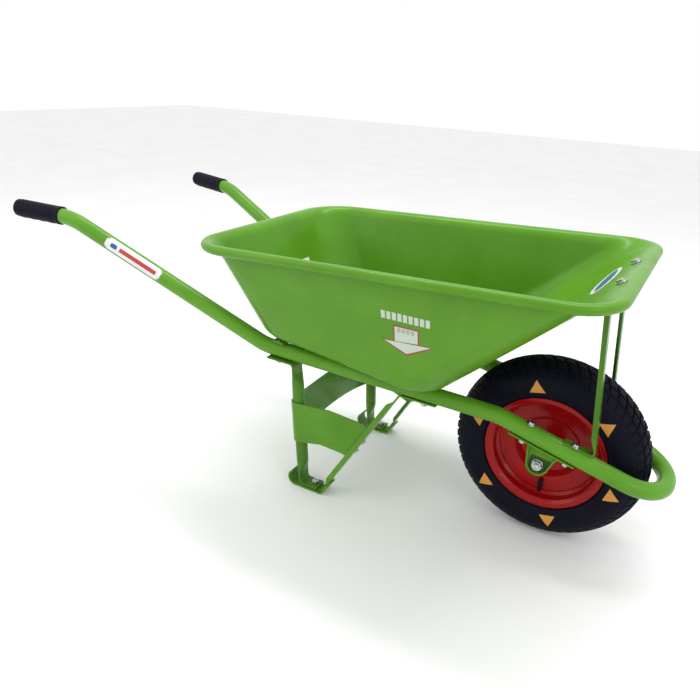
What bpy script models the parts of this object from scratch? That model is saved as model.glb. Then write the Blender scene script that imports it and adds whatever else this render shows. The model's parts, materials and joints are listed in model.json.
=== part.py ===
"""Single-wheel builder's wheelbarrow: bent tube frame, deep pressed tray, two braced legs.

Metres, +Z up, +X forward (towards the wheel), +Y to the left of someone pushing it.
All stations along X are measured from the axle. The empty BARROW carries that frame to the
part's own origin, which is under the middle of the whole barrow, on the ground.
"""
import math

import bmesh
import bpy
from mathutils import Vector

# ---------------------------------------------------------------- driving dimensions (metres)
GAP = 0.0003                # left between two pieces that touch
FLUSH_STEP = 0.0001         # what is left of an angle's second leg where it is cut away
SIDES = {"right": -1, "left": 1}

WHEEL_RADIUS = 0.1825       # 3.50-8 barrow tyre, 365 mm over the tread
TYRE_HALF_WIDTH = 0.0475
RIM_FLANGE_RADIUS = 0.1138
TYRE_WIDEST_RADIUS = RIM_FLANGE_RADIUS + 0.3508 * (WHEEL_RADIUS - RIM_FLANGE_RADIUS)
RIM_HALF_WIDTH = 0.0405
RIM_SEAT_RADIUS = 0.1010
RIM_WELL_RADIUS = 0.0945
RIM_SHEET = 0.0026
RIM_RING_Y, RIM_DISC_Y = -0.0100, 0.0040
RIM_RING_OUTER, RIM_RING_INNER = 0.0815, 0.0650
WHEEL_SEGMENTS = 40
HUB_SEGMENTS = 24
TYRE_WALL = 0.0065
TUBE_RUBBER = 0.0018

AXLE_RADIUS = 0.006
AXLE_HALF_LENGTH = 0.0915
BEARING_RADIUS = 0.0160
BEARING_WIDTH = 0.0110
HUB_RADIUS = 0.0195
HUB_BORE = 0.0125
HUB_HALF_LENGTH = 0.0405
SPACER_RADIUS = 0.0100
STEM_RADIUS = 0.0040
STEM_LENGTH = 0.0260
CAP_RADIUS = 0.0048
CAP_LENGTH = 0.0130
STEM_Y = -0.0152

FRAME_RADIUS = 0.0159       # 1 1/4 in tube
FRAME_WALL = 0.0018
FRAME_SIDES = 12
HANDLE_END = Vector((-1.1290, 0.2769, 0.5238))
HANDLE_BEND_X, HANDLE_BEND_Z, HANDLE_BEND_RADIUS = -0.9910, 0.5170, 0.158
SEAT_BEND = Vector((-0.5480, 0.1690, 0.3120))
SEAT_BEND_RADIUS = 0.100
WHEEL_BEND = Vector((-0.0820, 0.0850, WHEEL_RADIUS + 0.0785))
WHEEL_BEND_RADIUS = 0.100
NOSE_X, NOSE_HALF_WIDTH, NOSE_Z = WHEEL_RADIUS + 0.0275, 0.0700, WHEEL_RADIUS - 0.0045

GRIP_LENGTH = 0.1180
GRIP_RADIUS = FRAME_RADIUS + 0.0036
GRIP_END_WALL = 0.0045

TRAY_SHEET = 0.0012
TRAY_BEAD_RADIUS = 0.0085
TRAY_RIM_REAR_X, TRAY_RIM_FRONT_X, TRAY_RIM_HALF_WIDTH = -0.6758, 0.0962, 0.2463
TRAY_RIM_REAR_Z, TRAY_RIM_SLOPE = 0.5085, 0.0441
TRAY_RIM_REAR_CORNER, TRAY_RIM_FRONT_CORNER = 0.0870, 0.0720
TRAY_TOP_REAR_X, TRAY_TOP_FRONT_X, TRAY_TOP_HALF_WIDTH = -0.6562, 0.0480, 0.2267
TRAY_TOP_REAR_CORNER, TRAY_TOP_FRONT_CORNER = 0.0680, 0.0580
TRAY_TOP_DROP = 0.0040      # wall top below the bead's centre line, at the rear and sides
TRAY_LIP_DROP = 0.0200      # the same at the front, where the lip is wide
TRAY_FLOOR_REAR_X, TRAY_FLOOR_FRONT_X, TRAY_FLOOR_HALF_WIDTH = -0.5880, -0.1880, 0.1790
TRAY_FLOOR_REAR_CORNER, TRAY_FLOOR_FRONT_CORNER = 0.0950, 0.0800
TRAY_FLOOR_FILLET = 0.0320
CORNER_STEPS = 6

STRAP_WIDTH, STRAP_THICK, STRAP_PAST_BOLT = 0.0240, 0.0040, 0.0120
REAR_STRAP_X, FRONT_STRAP_X = -0.5160, -0.2180
TRAY_BOLT_Y = {"rear": 0.0850, "front": 0.0650}

BOLT_RADIUS = 0.0040        # M8
HEX_RADIUS = 0.0075
HEX_HEIGHT = 0.0055
NUT_HEIGHT = 0.0065
HOLE_CLEARANCE = 0.0005
FLUSH_RADIUS = 0.0070
BOLT_TAIL = 0.0030
NUT_BORE = 0.00435
TRAY_HEAD_RADIUS, TRAY_HEAD_HEIGHT = 0.0095, 0.0042
LIP_SLACK = 0.0016          # the lip bolt's nut stands this much clear of the sloping tab

SHOE_Y = 0.1500
SHOE_WIDTH, SHOE_THICK = 0.0330, 0.0040
SHOE_CURL_RADIUS = 0.0160
SHOE_CURL_X = -0.4750
SHOE_FRONT_RISE = 0.0270
SHOE_BOLT_X = -0.4330
STAY_FOOT_X, STAY_TOP_X = -0.4120, -0.2635
STAY_WIDTH, STAY_THICK, STAY_FLANGE = 0.0200, 0.0030, 0.0100
STAY_TAIL_X, STAY_TIP_X = -0.4500, -0.1930
LEG_RADIUS = 0.0125
LEG_TAB_HALF_WIDTH, LEG_TAB_THICK = 0.0165, 0.0045
LEG_FOOT_X, LEG_TOP_X = -0.4630, -0.4790
LEG_TOE_X, LEG_TAIL_X = -0.4215, -0.5330
SMALL_BOLT_RADIUS = 0.0030
SMALL_HEX_RADIUS = 0.0058
SMALL_HEX_HEIGHT = 0.0042

BRACE_SHEET = 0.0025
BRACE_TOP_Z, BRACE_LOW_Z = 0.2010, 0.1110
BRACE_ARCH, BRACE_LOW_ARCH = 0.0080, 0.0170
BRACE_END_DROP, BRACE_LOW_DROP = 0.0270, 0.0110
BRACE_BOLTS_Z = (0.1400, 0.1165)
BRACE_BOLT_INSET = 0.0030

POST_WIDTH, POST_THICK, POST_FLANGE = 0.0180, 0.0025, 0.0085
POST_TAIL_X, POST_FOOT_X = 0.0330, 0.0865
POST_TOP_X, POST_TIP_X = 0.0620, 0.0858
LIP_BOLT_X = 0.0740
POST_Y = 0.0720

BRACKET_INNER_Y = 0.0770
BRACKET_SHEET = 0.0030
BRACKET_DEPTH = 0.0090
BRACKET_TONGUE_RADIUS = 0.0205
BRACKET_STRIP_WIDTH = 0.0200
BRACKET_REAR_X, BRACKET_FRONT_X = -0.0530, 0.0680
BRACKET_TONGUE_REAR_X, BRACKET_TONGUE_FRONT_X = -0.0175, 0.0410
BRACKET_BOLTS_X = {"rear": -0.0270, "front": 0.0530}
AXLE_NUT_RADIUS, AXLE_NUT_HEIGHT = 0.0105, 0.0075

AXLE_Z = WHEEL_RADIUS
BARROW = None               # the empty that carries the whole barrow
WHEEL = None                # the empty on the axle that carries what turns


# ---------------------------------------------------------------- finishes
def finish(name, colour, roughness, metallic):
    """A plain Principled material."""
    material = bpy.data.materials.new(name)
    material.use_nodes = True
    shader = material.node_tree.nodes["Principled BSDF"]
    shader.inputs["Base Color"].default_value = (*colour, 1.0)
    shader.inputs["Roughness"].default_value = roughness
    shader.inputs["Metallic"].default_value = metallic
    return material


FINISHES = {
    "green": ((0.16, 0.42, 0.03), 0.30, 0.0),
    "red": ((0.35, 0.01, 0.01), 0.35, 0.0),
    "rubber": ((0.012, 0.012, 0.016), 0.70, 0.0),
    "grip": ((0.014, 0.014, 0.022), 0.55, 0.0),
    "zinc": ((0.62, 0.64, 0.66), 0.35, 1.0),
    "steel": ((0.45, 0.45, 0.46), 0.30, 1.0),
}


# ---------------------------------------------------------------- mesh helpers
def add_object(name, verts, faces, colour, parent=None):
    """One named object from points and faces, its faces turned outwards."""
    mesh = bpy.data.meshes.new(name)
    mesh.from_pydata([tuple(v) for v in verts], [], faces)
    work = bmesh.new()
    work.from_mesh(mesh)
    bmesh.ops.recalc_face_normals(work, faces=work.faces)
    work.to_mesh(mesh)
    work.free()
    obj = bpy.data.objects.new(name, mesh)
    bpy.context.scene.collection.objects.link(obj)
    obj.parent = parent or BARROW
    if colour:
        mesh.materials.append(finish(name + "_finish", *FINISHES[colour]))
        mesh.shade_smooth()
        mesh.set_sharp_from_angle(angle=math.radians(35))
    return obj


def loft(name, rings, colour, parent=None, loop=False):
    """Skin a row of rings that all have the same number of points."""
    count = len(rings[0])
    verts = [v for ring in rings for v in ring]
    faces = []
    pairs = len(rings) if loop else len(rings) - 1
    for i in range(pairs):
        a, b = i * count, ((i + 1) % len(rings)) * count
        for k in range(count):
            n = (k + 1) % count
            faces.append((a + k, a + n, b + n, b + k))
    if not loop:
        faces.append(tuple(range(count))[::-1])
        faces.append(tuple(range(len(verts) - count, len(verts))))
    return add_object(name, verts, faces, colour, parent)


def cutter(name, rings, parent=None):
    obj = loft(name, rings, None, parent)
    obj.hide_render = True
    obj.display_type = "WIRE"
    return obj


def combine(obj, other, operation):
    modifier = obj.modifiers.new(operation.lower() + "_" + other.name, "BOOLEAN")
    modifier.operation = operation
    modifier.solver = "EXACT"
    modifier.object = other


def axis_frame(axis):
    """Two unit vectors square to an axis; the first lies as near to +Y as it can."""
    axis = axis.normalized()
    side = Vector((0, 1, 0)) if abs(axis.y) < 0.9 else Vector((0, 0, 1))
    first = (side - axis * side.dot(axis)).normalized()
    return first, axis.cross(first)


def disc(centre, axis, radius, sides, turn=0.0):
    first, second = axis_frame(axis)
    ring = []
    for k in range(sides):
        a = 2 * math.pi * k / sides + turn
        ring.append(centre + first * (radius * math.cos(a)) + second * (radius * math.sin(a)))
    return ring


def hexagon(centre, axis, radius, turn=0.0):
    """A hexagon of twelve points: its corners and the middles of its flats."""
    corners = disc(centre, axis, radius, 6, turn)
    ring = []
    for k in range(6):
        ring += [corners[k], (corners[k] + corners[(k + 1) % 6]) / 2]
    return ring


def hole(obj, centre, axis, radius, depth, sides=12):
    """Cut a round hole that runs depth each way from its centre."""
    axis = axis.normalized()
    rings = [disc(centre - axis * depth, axis, radius, sides),
             disc(centre + axis * depth, axis, radius, sides)]
    combine(obj, cutter("cut_" + obj.name, rings, obj.parent), "DIFFERENCE")


def fillet(points, radii, steps):
    """Round the inner corners of an open run of points with arcs."""
    out = [points[0].copy()]
    for i in range(1, len(points) - 1):
        corner = points[i]
        back, ahead = points[i - 1] - corner, points[i + 1] - corner
        u, v = back.normalized(), ahead.normalized()
        inside = u.angle(v)
        cut = radii[i - 1] / math.tan(inside / 2)
        cut = min(cut, 0.49 * back.length, 0.49 * ahead.length)
        radius = cut * math.tan(inside / 2)
        centre = corner + (u + v).normalized() * (radius / math.sin(inside / 2))
        start, end = corner + u * cut - centre, corner + v * cut - centre
        sweep = math.pi - inside
        for k in range(steps + 1):
            a, b = math.sin((1 - k / steps) * sweep), math.sin(k / steps * sweep)
            out.append(centre + (start * a + end * b) / math.sin(sweep))
    out.append(points[-1].copy())
    return out


def lathe(name, outline, colour, parent, segments=WHEEL_SEGMENTS):
    """Turn a closed (radius, y) outline about the Y axis."""
    rings = []
    for k in range(segments):
        a = 2 * math.pi * k / segments
        rings.append([Vector((r * math.cos(a), y, r * math.sin(a))) for r, y in outline])
    return loft(name, rings, colour, parent, loop=True)


def flat_offset(path, distance):
    """Shift an open (x, z) path sideways, to its left, with mitred corners."""
    out = []
    for i, point in enumerate(path):
        if i in (0, len(path) - 1):
            ahead = path[min(i + 1, len(path) - 1)] - path[max(i - 1, 0)]
            left = Vector((-ahead.y, ahead.x)).normalized()
            out.append(point + left * distance)
            continue
        u, v = (point - path[i - 1]).normalized(), (path[i + 1] - point).normalized()
        left = (Vector((-u.y, u.x)) + Vector((-v.y, v.x))).normalized()
        out.append(point + left * (distance / left.dot(Vector((-u.y, u.x)))))
    return out


def strip(name, path, thick, half_width, lane, side, colour):
    """A flat bar bent along an (x, z) path; lane(x) is the middle of its width in Y."""
    low, high = flat_offset(path, -thick / 2), flat_offset(path, thick / 2)
    rings = []
    for a, b, middle in zip(low, high, path):
        y = lane(middle.x)
        rings.append([Vector((p.x, side * (y + w), p.y))
                      for p, w in ((a, -half_width), (a, half_width), (b, half_width), (b, -half_width))])
    return loft(name, rings, colour)


def angle_iron(name, path, thick, half_width, heights, lane, side, lean, colour):
    """An angle iron whose tabs are one leg bent on past where the other leg is cut away.

    heights gives the second leg's height at each point; lean is +1 or -1, the side of the
    path that it stands on. It stands on the outer edge of the bar.
    """
    near, far = flat_offset(path, -lean * thick / 2), flat_offset(path, lean * thick / 2)
    tops = [flat_offset(path, lean * (h - thick / 2))[i] for i, h in enumerate(heights)]
    rings = []
    for a, b, top, middle in zip(near, far, tops, path):
        y = lane(middle.x)
        inner, outer, web = y - half_width, y + half_width, y + half_width - thick
        rings.append([Vector((p.x, side * w, p.y)) for p, w in (
            (a, inner), (a, outer), (top, outer), (top, web), (b, web), (b, inner))])
    return loft(name, rings, colour)


def bolt(name, seat, axis, length, radius=BOLT_RADIUS, head_radius=HEX_RADIUS,
         head_height=HEX_HEIGHT, nut_at=None, style="hex", parent=None):
    """A bolt whose head's underside is at seat; axis points out through the head.

    nut_at is the distance from the seat to the face of its nut, which is then part of the
    same piece. A flush bolt's head is a cone below the seat.
    """
    axis = axis.normalized()
    sides = 6 if style == "hex" else 8

    def ring(depth, size):
        return disc(seat - axis * depth, axis, size, sides)

    if style == "flush":
        rings = [ring(0, head_radius), ring(head_height, radius)]
    elif style == "dome":
        rings = [ring(-head_height, 0.45 * head_radius), ring(-0.6 * head_height, 0.85 * head_radius),
                 ring(0, head_radius), ring(0, radius)]
    else:
        rings = [ring(-head_height, head_radius), ring(0, head_radius), ring(0, radius)]
    if nut_at is not None:
        across = HEX_RADIUS if radius == BOLT_RADIUS else SMALL_HEX_RADIUS
        rings += [ring(nut_at, radius), ring(nut_at, across),
                  ring(nut_at + NUT_HEIGHT, across), ring(nut_at + NUT_HEIGHT, radius)]
    rings.append(ring(length, radius))
    return loft(name, rings, "zinc", parent)


def nut(name, seat, axis, hole_radius, radius, height, parent=None, colour="zinc"):
    """A hexagon nut from its seat along the axis."""
    top = seat + axis.normalized() * height
    rings = [hexagon(seat, axis, radius), hexagon(top, axis, radius),
             disc(top, axis, hole_radius, 12), disc(seat, axis, hole_radius, 12)]
    return loft(name, rings, colour, parent, loop=True)


# ---------------------------------------------------------------- where the frame tube runs
def straight(a, b, x):
    return a + (b - a) * ((x - a.x) / (b.x - a.x))


NOSE = Vector((NOSE_X, NOSE_HALF_WIDTH, NOSE_Z))
HANDLE_BEND = straight(HANDLE_END, SEAT_BEND, HANDLE_BEND_X)
HANDLE_BEND.z = HANDLE_BEND_Z


def rail(x):
    """Middle of the left frame tube at a station under the tray or beside the wheel."""
    return straight(SEAT_BEND, WHEEL_BEND, x) if x < WHEEL_BEND.x else straight(WHEEL_BEND, NOSE, x)


def rail_y(x):
    return rail(x).y


def rail_up(x):
    """Unit vector square to the tube in side view."""
    ahead = rail(x + 0.001) - rail(x - 0.001)
    return Vector((-ahead.z, 0, ahead.x)).normalized()


def beside_rail(x, lift):
    """The (x, z) point that is lift above the tube's middle line (below, if negative)."""
    up = rail_up(x)
    return Vector((x + up.x * lift, rail(x).z + up.z * lift))


def frame_path():
    """The whole tube's middle line, from the right grip round the nose to the left grip."""
    left = [HANDLE_END, HANDLE_BEND, SEAT_BEND, WHEEL_BEND, NOSE]
    right = [Vector((p.x, -p.y, p.z)) for p in left]
    radii = [HANDLE_BEND_RADIUS, SEAT_BEND_RADIUS, WHEEL_BEND_RADIUS, NOSE_HALF_WIDTH]
    start = right[0] + (right[1] - right[0]).normalized() * (GRIP_END_WALL + GAP)
    end = Vector((start.x, -start.y, start.z))
    return fillet([start] + right[1:] + left[:0:-1] + [end], radii + radii[::-1], 6)


def make_frame():
    path = frame_path()
    rings = []
    normal = Vector((0, 0, 1))
    for i, point in enumerate(path):
        ahead = (path[min(i + 1, len(path) - 1)] - path[max(i - 1, 0)]).normalized()
        normal = (normal - ahead * normal.dot(ahead)).normalized()
        across = ahead.cross(normal)
        turns = [2 * math.pi * k / FRAME_SIDES for k in range(FRAME_SIDES)]
        spokes = [normal * math.cos(a) + across * math.sin(a) for a in turns]
        rings.append((point, spokes))
    bore = FRAME_RADIUS - FRAME_WALL
    outside = [[p + s * FRAME_RADIUS for s in spokes] for p, spokes in rings]
    inside = [[p + s * bore for s in spokes] for p, spokes in rings]
    frame = loft("frame_tube", outside + inside[::-1], "green", loop=True)
    size = BOLT_RADIUS + HOLE_CLEARANCE
    for side in SIDES.values():
        stations = [REAR_STRAP_X, FRONT_STRAP_X] + list(BRACKET_BOLTS_X.values())
        for x in stations:
            middle = rail(x)
            hole(frame, Vector((x, side * middle.y, middle.z)), rail_up(x), size, 2 * FRAME_RADIUS)


def make_grip(name, side):
    start = Vector((HANDLE_END.x, side * HANDLE_END.y, HANDLE_END.z))
    ahead = Vector((HANDLE_BEND.x, side * HANDLE_BEND.y, HANDLE_BEND.z)) - start
    ahead.normalize()
    bore = FRAME_RADIUS + GAP
    shape = [(0, 0.60), (0.0018, 0.83), (0.0060, 0.97), (0.0100, 1.0),
             (GRIP_LENGTH - 0.0060, 1.0), (GRIP_LENGTH, 0.95)]
    rings = [disc(start + ahead * s, ahead, GRIP_RADIUS * f, 16) for s, f in shape]
    for s in (GRIP_LENGTH, GRIP_END_WALL):
        rings.append(disc(start + ahead * s, ahead, bore / math.cos(math.pi / 16), 16))
    loft(name, rings, "grip")


# ---------------------------------------------------------------- tray
def outline(rear, front, half_width, rear_corner, front_corner):
    """A rectangle with round corners as (x, y, outward) from above, round from the rear right."""
    corners = [(rear + rear_corner, rear_corner - half_width, rear_corner, 180),
               (front - front_corner, front_corner - half_width, front_corner, 270),
               (front - front_corner, half_width - front_corner, front_corner, 0),
               (rear + rear_corner, half_width - rear_corner, rear_corner, 90)]
    points = []
    for cx, cy, radius, first in corners:
        for k in range(CORNER_STEPS + 1):
            a = math.radians(first + 90 * k / CORNER_STEPS)
            out = Vector((math.cos(a), math.sin(a), 0))
            points.append((Vector((cx, cy, 0)) + out * radius, out))
    return points


def floor_z(x):
    """Underside of the tray's floor, which lies on the straps."""
    lift = FRAME_RADIUS + STRAP_THICK + 2 * GAP
    return straight(SEAT_BEND, WHEEL_BEND, x).z + lift / rail_up(REAR_STRAP_X).z


def rim_z(x):
    return TRAY_RIM_REAR_Z + TRAY_RIM_SLOPE * (x - TRAY_RIM_REAR_X)


def tray_skin():
    """Rings of the outer skin, from the floor up the walls to the lip beside the bead."""
    floor = outline(TRAY_FLOOR_REAR_X, TRAY_FLOOR_FRONT_X, TRAY_FLOOR_HALF_WIDTH,
                    TRAY_FLOOR_REAR_CORNER, TRAY_FLOOR_FRONT_CORNER)
    top = outline(TRAY_TOP_REAR_X, TRAY_TOP_FRONT_X, TRAY_TOP_HALF_WIDTH,
                  TRAY_TOP_REAR_CORNER, TRAY_TOP_FRONT_CORNER)
    rim = outline(TRAY_RIM_REAR_X, TRAY_RIM_FRONT_X, TRAY_RIM_HALF_WIDTH,
                  TRAY_RIM_REAR_CORNER, TRAY_RIM_FRONT_CORNER)
    slope = floor_z(1) - floor_z(0)
    fillet_steps, lip_steps = 4, 4
    rings = [[] for _ in range(fillet_steps + lip_steps + 2)]
    beads = []
    for (low, out), (high, _), (edge, rim_out) in zip(floor, top, rim):
        low = Vector((low.x, low.y, floor_z(low.x)))
        share = (high.x - TRAY_TOP_REAR_X) / (TRAY_TOP_FRONT_X - TRAY_TOP_REAR_X)
        drop = TRAY_TOP_DROP + (TRAY_LIP_DROP - TRAY_TOP_DROP) * max(0.0, share) ** 6
        high = Vector((high.x, high.y, rim_z(high.x) - drop))
        edge = Vector((edge.x, edge.y, rim_z(edge.x)))
        wall = (high - low).normalized()
        inward = Vector((-out.x, -out.y, -out.x * slope)).normalized()
        inside = wall.angle(inward)
        cut = TRAY_FLOOR_FILLET / math.tan(inside / 2)
        centre = low + (wall + inward).normalized() * (TRAY_FLOOR_FILLET / math.sin(inside / 2))
        start, end = low + inward * cut - centre, low + wall * cut - centre
        sweep = math.pi - inside
        for k in range(fillet_steps + 1):
            a, b = math.sin((1 - k / fillet_steps) * sweep), math.sin(k / fillet_steps * sweep)
            rings[k].append(centre + (start * a + end * b) / math.sin(sweep))
        lip_z = edge.z + TRAY_BEAD_RADIUS - TRAY_SHEET
        lip = edge + rim_out * (-0.55 * TRAY_BEAD_RADIUS)
        lip.z = lip_z
        turn_in = high + wall * (0.75 * (lip_z - high.z) / wall.z)
        start_lip = high - wall * 0.006
        for k in range(lip_steps + 1):
            t = k / lip_steps
            point = start_lip * (1 - t) ** 2 + turn_in * (2 * t * (1 - t)) + lip * t ** 2
            rings[fillet_steps + 1 + k].append(point)
        beads.append((edge, rim_out))
    return rings, beads


def ring_normals(rings):
    """Unit vectors into the tray's hollow, square to the skin at each of its points."""
    count = len(rings[0])
    out = []
    for i, ring in enumerate(rings):
        row = []
        for k, point in enumerate(ring):
            along = ring[(k + 1) % count] - ring[k - 1]
            down = rings[max(i - 1, 0)][k]
            up = rings[min(i + 1, len(rings) - 1)][k]
            row.append((up - down).cross(along).normalized())
        out.append(row)
    return out


def make_tray():
    outside, beads = tray_skin()
    normals = ring_normals(outside)
    if normals[0][0].z < 0:
        normals = [[-n for n in row] for row in normals]
    inside = [[p + n * TRAY_SHEET for p, n in zip(ring, row)] for ring, row in zip(outside, normals)]
    round_bead = []
    for degrees in (165, 205, 245, 285, 325, 5, 45, 80):
        a = math.radians(degrees)
        round_bead.append([edge + out * (TRAY_BEAD_RADIUS * math.cos(a))
                           + Vector((0, 0, TRAY_BEAD_RADIUS * math.sin(a))) for edge, out in beads])
    tray = loft("tray", outside + round_bead + inside[::-1], "green")
    size = BOLT_RADIUS + HOLE_CLEARANCE
    for place, x in (("rear", REAR_STRAP_X), ("front", FRONT_STRAP_X)):
        for side in SIDES.values():
            under = beside_rail(x, FRAME_RADIUS + STRAP_THICK + 2 * GAP)
            centre = Vector((under.x, side * TRAY_BOLT_Y[place], under.y))
            hole(tray, centre, rail_up(REAR_STRAP_X), size, 0.010, 8)
    for side in SIDES.values():
        point, up = lip_underside(LIP_BOLT_X)
        hole(tray, Vector((point.x, side * POST_Y, point.y)), up, size, 0.010, 8)


def lip_underside(x):
    """Point (x, z) under the front lip at a station, and the unit vector square to it."""
    rings, _ = tray_skin()
    front = CORNER_STEPS + 1 + CORNER_STEPS
    line = [Vector((ring[front].x, ring[front].z)) for ring in rings]
    for a, b in zip(line[:-1], line[1:]):
        if a.x <= x <= b.x:
            point = a + (b - a) * ((x - a.x) / (b.x - a.x))
            ahead = (b - a).normalized()
            return point, Vector((-ahead.y, 0, ahead.x))
    return line[-1], Vector((0, 0, 1))


def make_strap(name, x):
    """A flat bar across both tubes, under the tray's floor, drilled for four bolts."""
    up = rail_up(REAR_STRAP_X)
    ahead = Vector((up.z, 0, -up.x))
    middle = beside_rail(x, FRAME_RADIUS + GAP + STRAP_THICK / 2)
    reach = rail_y(x) + STRAP_PAST_BOLT
    rings = []
    for end in (-reach, reach):
        centre = Vector((middle.x, end, middle.y))
        rings.append([centre + ahead * (a * STRAP_WIDTH / 2) + up * (b * STRAP_THICK / 2)
                      for a, b in ((-1, -1), (1, -1), (1, 1), (-1, 1))])
    strap = loft(name, rings, "green")
    place = name.split("_")[-1]
    size = BOLT_RADIUS + HOLE_CLEARANCE
    for side in SIDES.values():
        for y in (TRAY_BOLT_Y[place], None):
            centre = Vector((middle.x, side * (y or rail_y(x)), middle.y))
            if y:
                hole(strap, centre, up, size, 0.010, 8)
                continue
            base, top = centre - up * (STRAP_THICK / 2 + 0.001), centre + up * (STRAP_THICK / 2 + 0.001)
            sink = [disc(base, up, size, 8), disc(centre - up * (STRAP_THICK / 2), up, size, 8),
                    disc(top, up, FLUSH_RADIUS + STRAP_THICK / 2, 8)]
            combine(strap, cutter("cut_sink_" + name, sink), "DIFFERENCE")


def make_tray_bolts():
    up = rail_up(REAR_STRAP_X)
    for place, x in (("rear", REAR_STRAP_X), ("front", FRONT_STRAP_X)):
        make_strap("tray_strap_" + place, x)
        stack = TRAY_SHEET + GAP + STRAP_THICK + 2 * GAP
        for word, side in SIDES.items():
            level = beside_rail(x, FRAME_RADIUS + STRAP_THICK + 2 * GAP + TRAY_SHEET + GAP)
            seat = Vector((level.x, side * TRAY_BOLT_Y[place], level.y))
            bolt(f"tray_bolt_{place}_{word}", seat, up, stack + NUT_HEIGHT + BOLT_TAIL,
                 head_radius=TRAY_HEAD_RADIUS, head_height=TRAY_HEAD_HEIGHT, nut_at=stack, style="dome")


# ---------------------------------------------------------------- legs
def shoe_lane(_x):
    return SHOE_Y


def stay_lane(x):
    """Middle of the stay in Y: over the shoe, then leaning in to lie under the tube."""
    if x <= STAY_FOOT_X:
        return SHOE_Y
    if x >= STAY_TOP_X:
        return rail_y(x)
    share = (x - STAY_FOOT_X) / (STAY_TOP_X - STAY_FOOT_X)
    return SHOE_Y + (rail_y(STAY_TOP_X) - SHOE_Y) * share


STAY_FOOT = Vector((STAY_FOOT_X, SHOE_THICK + GAP + STAY_THICK / 2))


def stay_top(x):
    return beside_rail(x, -(FRAME_RADIUS + GAP + STAY_THICK / 2))


def stay_axis():
    """Unit vector up the stay in (x, z)."""
    return (stay_top(STAY_TOP_X) - STAY_FOOT).normalized()


def on_stay(z):
    """The (x, z) point of the stay's bar at a height."""
    axis = stay_axis()
    return STAY_FOOT + axis * ((z - STAY_FOOT.y) / axis.y)


def rounded(points, radius, steps=3):
    flat = [Vector((p.x, 0, p.y)) for p in points]
    return [Vector((p.x, p.z)) for p in fillet(flat, [radius] * (len(points) - 2), steps)]


def make_stay(name, side):
    foot, top = STAY_FOOT, stay_top(STAY_TOP_X)
    axis = stay_axis()
    length = (top - foot).length
    path = rounded([Vector((STAY_TAIL_X, foot.y)), foot, top, stay_top(STAY_TIP_X)], 0.006)
    tab = STAY_THICK + FLUSH_STEP
    extra = [(0.020, tab), (0.034, STAY_FLANGE), (length - 0.034, STAY_FLANGE), (length - 0.020, tab)]
    half = len(path) // 2
    points = path[:half] + [foot + axis * s for s, _ in extra] + path[half:]
    heights = [tab] * half + [h for _, h in extra] + [tab] * half
    stay = angle_iron(name, points, STAY_THICK, STAY_WIDTH / 2, heights, stay_lane, side, 1, "green")
    size = BOLT_RADIUS + HOLE_CLEARANCE
    hole(stay, Vector((SHOE_BOLT_X, side * SHOE_Y, foot.y)), Vector((0, 0, 1)), size, 0.006, 8)
    tip = beside_rail(FRONT_STRAP_X, -(FRAME_RADIUS + GAP + STAY_THICK / 2))
    hole(stay, Vector((tip.x, side * rail_y(FRONT_STRAP_X), tip.y)), rail_up(FRONT_STRAP_X), size, 0.006, 8)
    for z in BRACE_BOLTS_Z:
        spot = on_stay(z)
        square = Vector((-axis.y, 0, axis.x))
        hole(stay, Vector((spot.x, side * (stay_lane(spot.x) - BRACE_BOLT_INSET), z)), square,
             SMALL_BOLT_RADIUS + HOLE_CLEARANCE, 0.006, 8)


def make_shoe(name, side):
    """A bent strap: curled up behind the leg, flat on the ground, turned up under the stay."""
    middle_z = SHOE_THICK / 2
    centre = Vector((SHOE_CURL_X, middle_z + SHOE_CURL_RADIUS))
    curl = []
    for degrees in range(120, 271, 25):
        a = math.radians(degrees)
        curl.append(centre + Vector((math.cos(a), math.sin(a))) * SHOE_CURL_RADIUS)
    axis = stay_axis()
    away = Vector((axis.y, -axis.x)) * (STAY_THICK / 2 + GAP + SHOE_THICK / 2)
    line = STAY_FOOT + away
    toe = line + axis * ((middle_z - line.y) / axis.y)
    tip = line + axis * ((SHOE_FRONT_RISE - line.y) / axis.y)
    front = rounded([Vector((SHOE_BOLT_X, middle_z)), toe, tip], 0.009)
    shoe = strip(name, curl + front, SHOE_THICK, SHOE_WIDTH / 2, shoe_lane, side, "green")
    size = BOLT_RADIUS + HOLE_CLEARANCE
    base = Vector((SHOE_BOLT_X, side * SHOE_Y, 0))
    up = Vector((0, 0, 1))
    sink = [disc(base - up * 0.001, up, FLUSH_RADIUS + 0.0015, 8),
            disc(base + up * SHOE_THICK, up, size, 8), disc(base + up * 0.006, up, size, 8)]
    combine(shoe, cutter("cut_sink_" + name, sink), "DIFFERENCE")


LEG_TAB_Z = SHOE_THICK + STAY_THICK + 2 * GAP + LEG_TAB_THICK / 2
LEG_CROWN = beside_rail(LEG_TOP_X, -(FRAME_RADIUS + GAP + LEG_TAB_THICK / 2))


def leg_axis(z):
    """Middle of the leg's tube at a height, on the left side."""
    share = (z - LEG_TAB_Z) / (LEG_CROWN.y - LEG_TAB_Z)
    x = LEG_FOOT_X + (LEG_CROWN.x - LEG_FOOT_X) * share
    return Vector((x, SHOE_Y + (rail_y(LEG_TOP_X) - SHOE_Y) * share, z))


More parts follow.
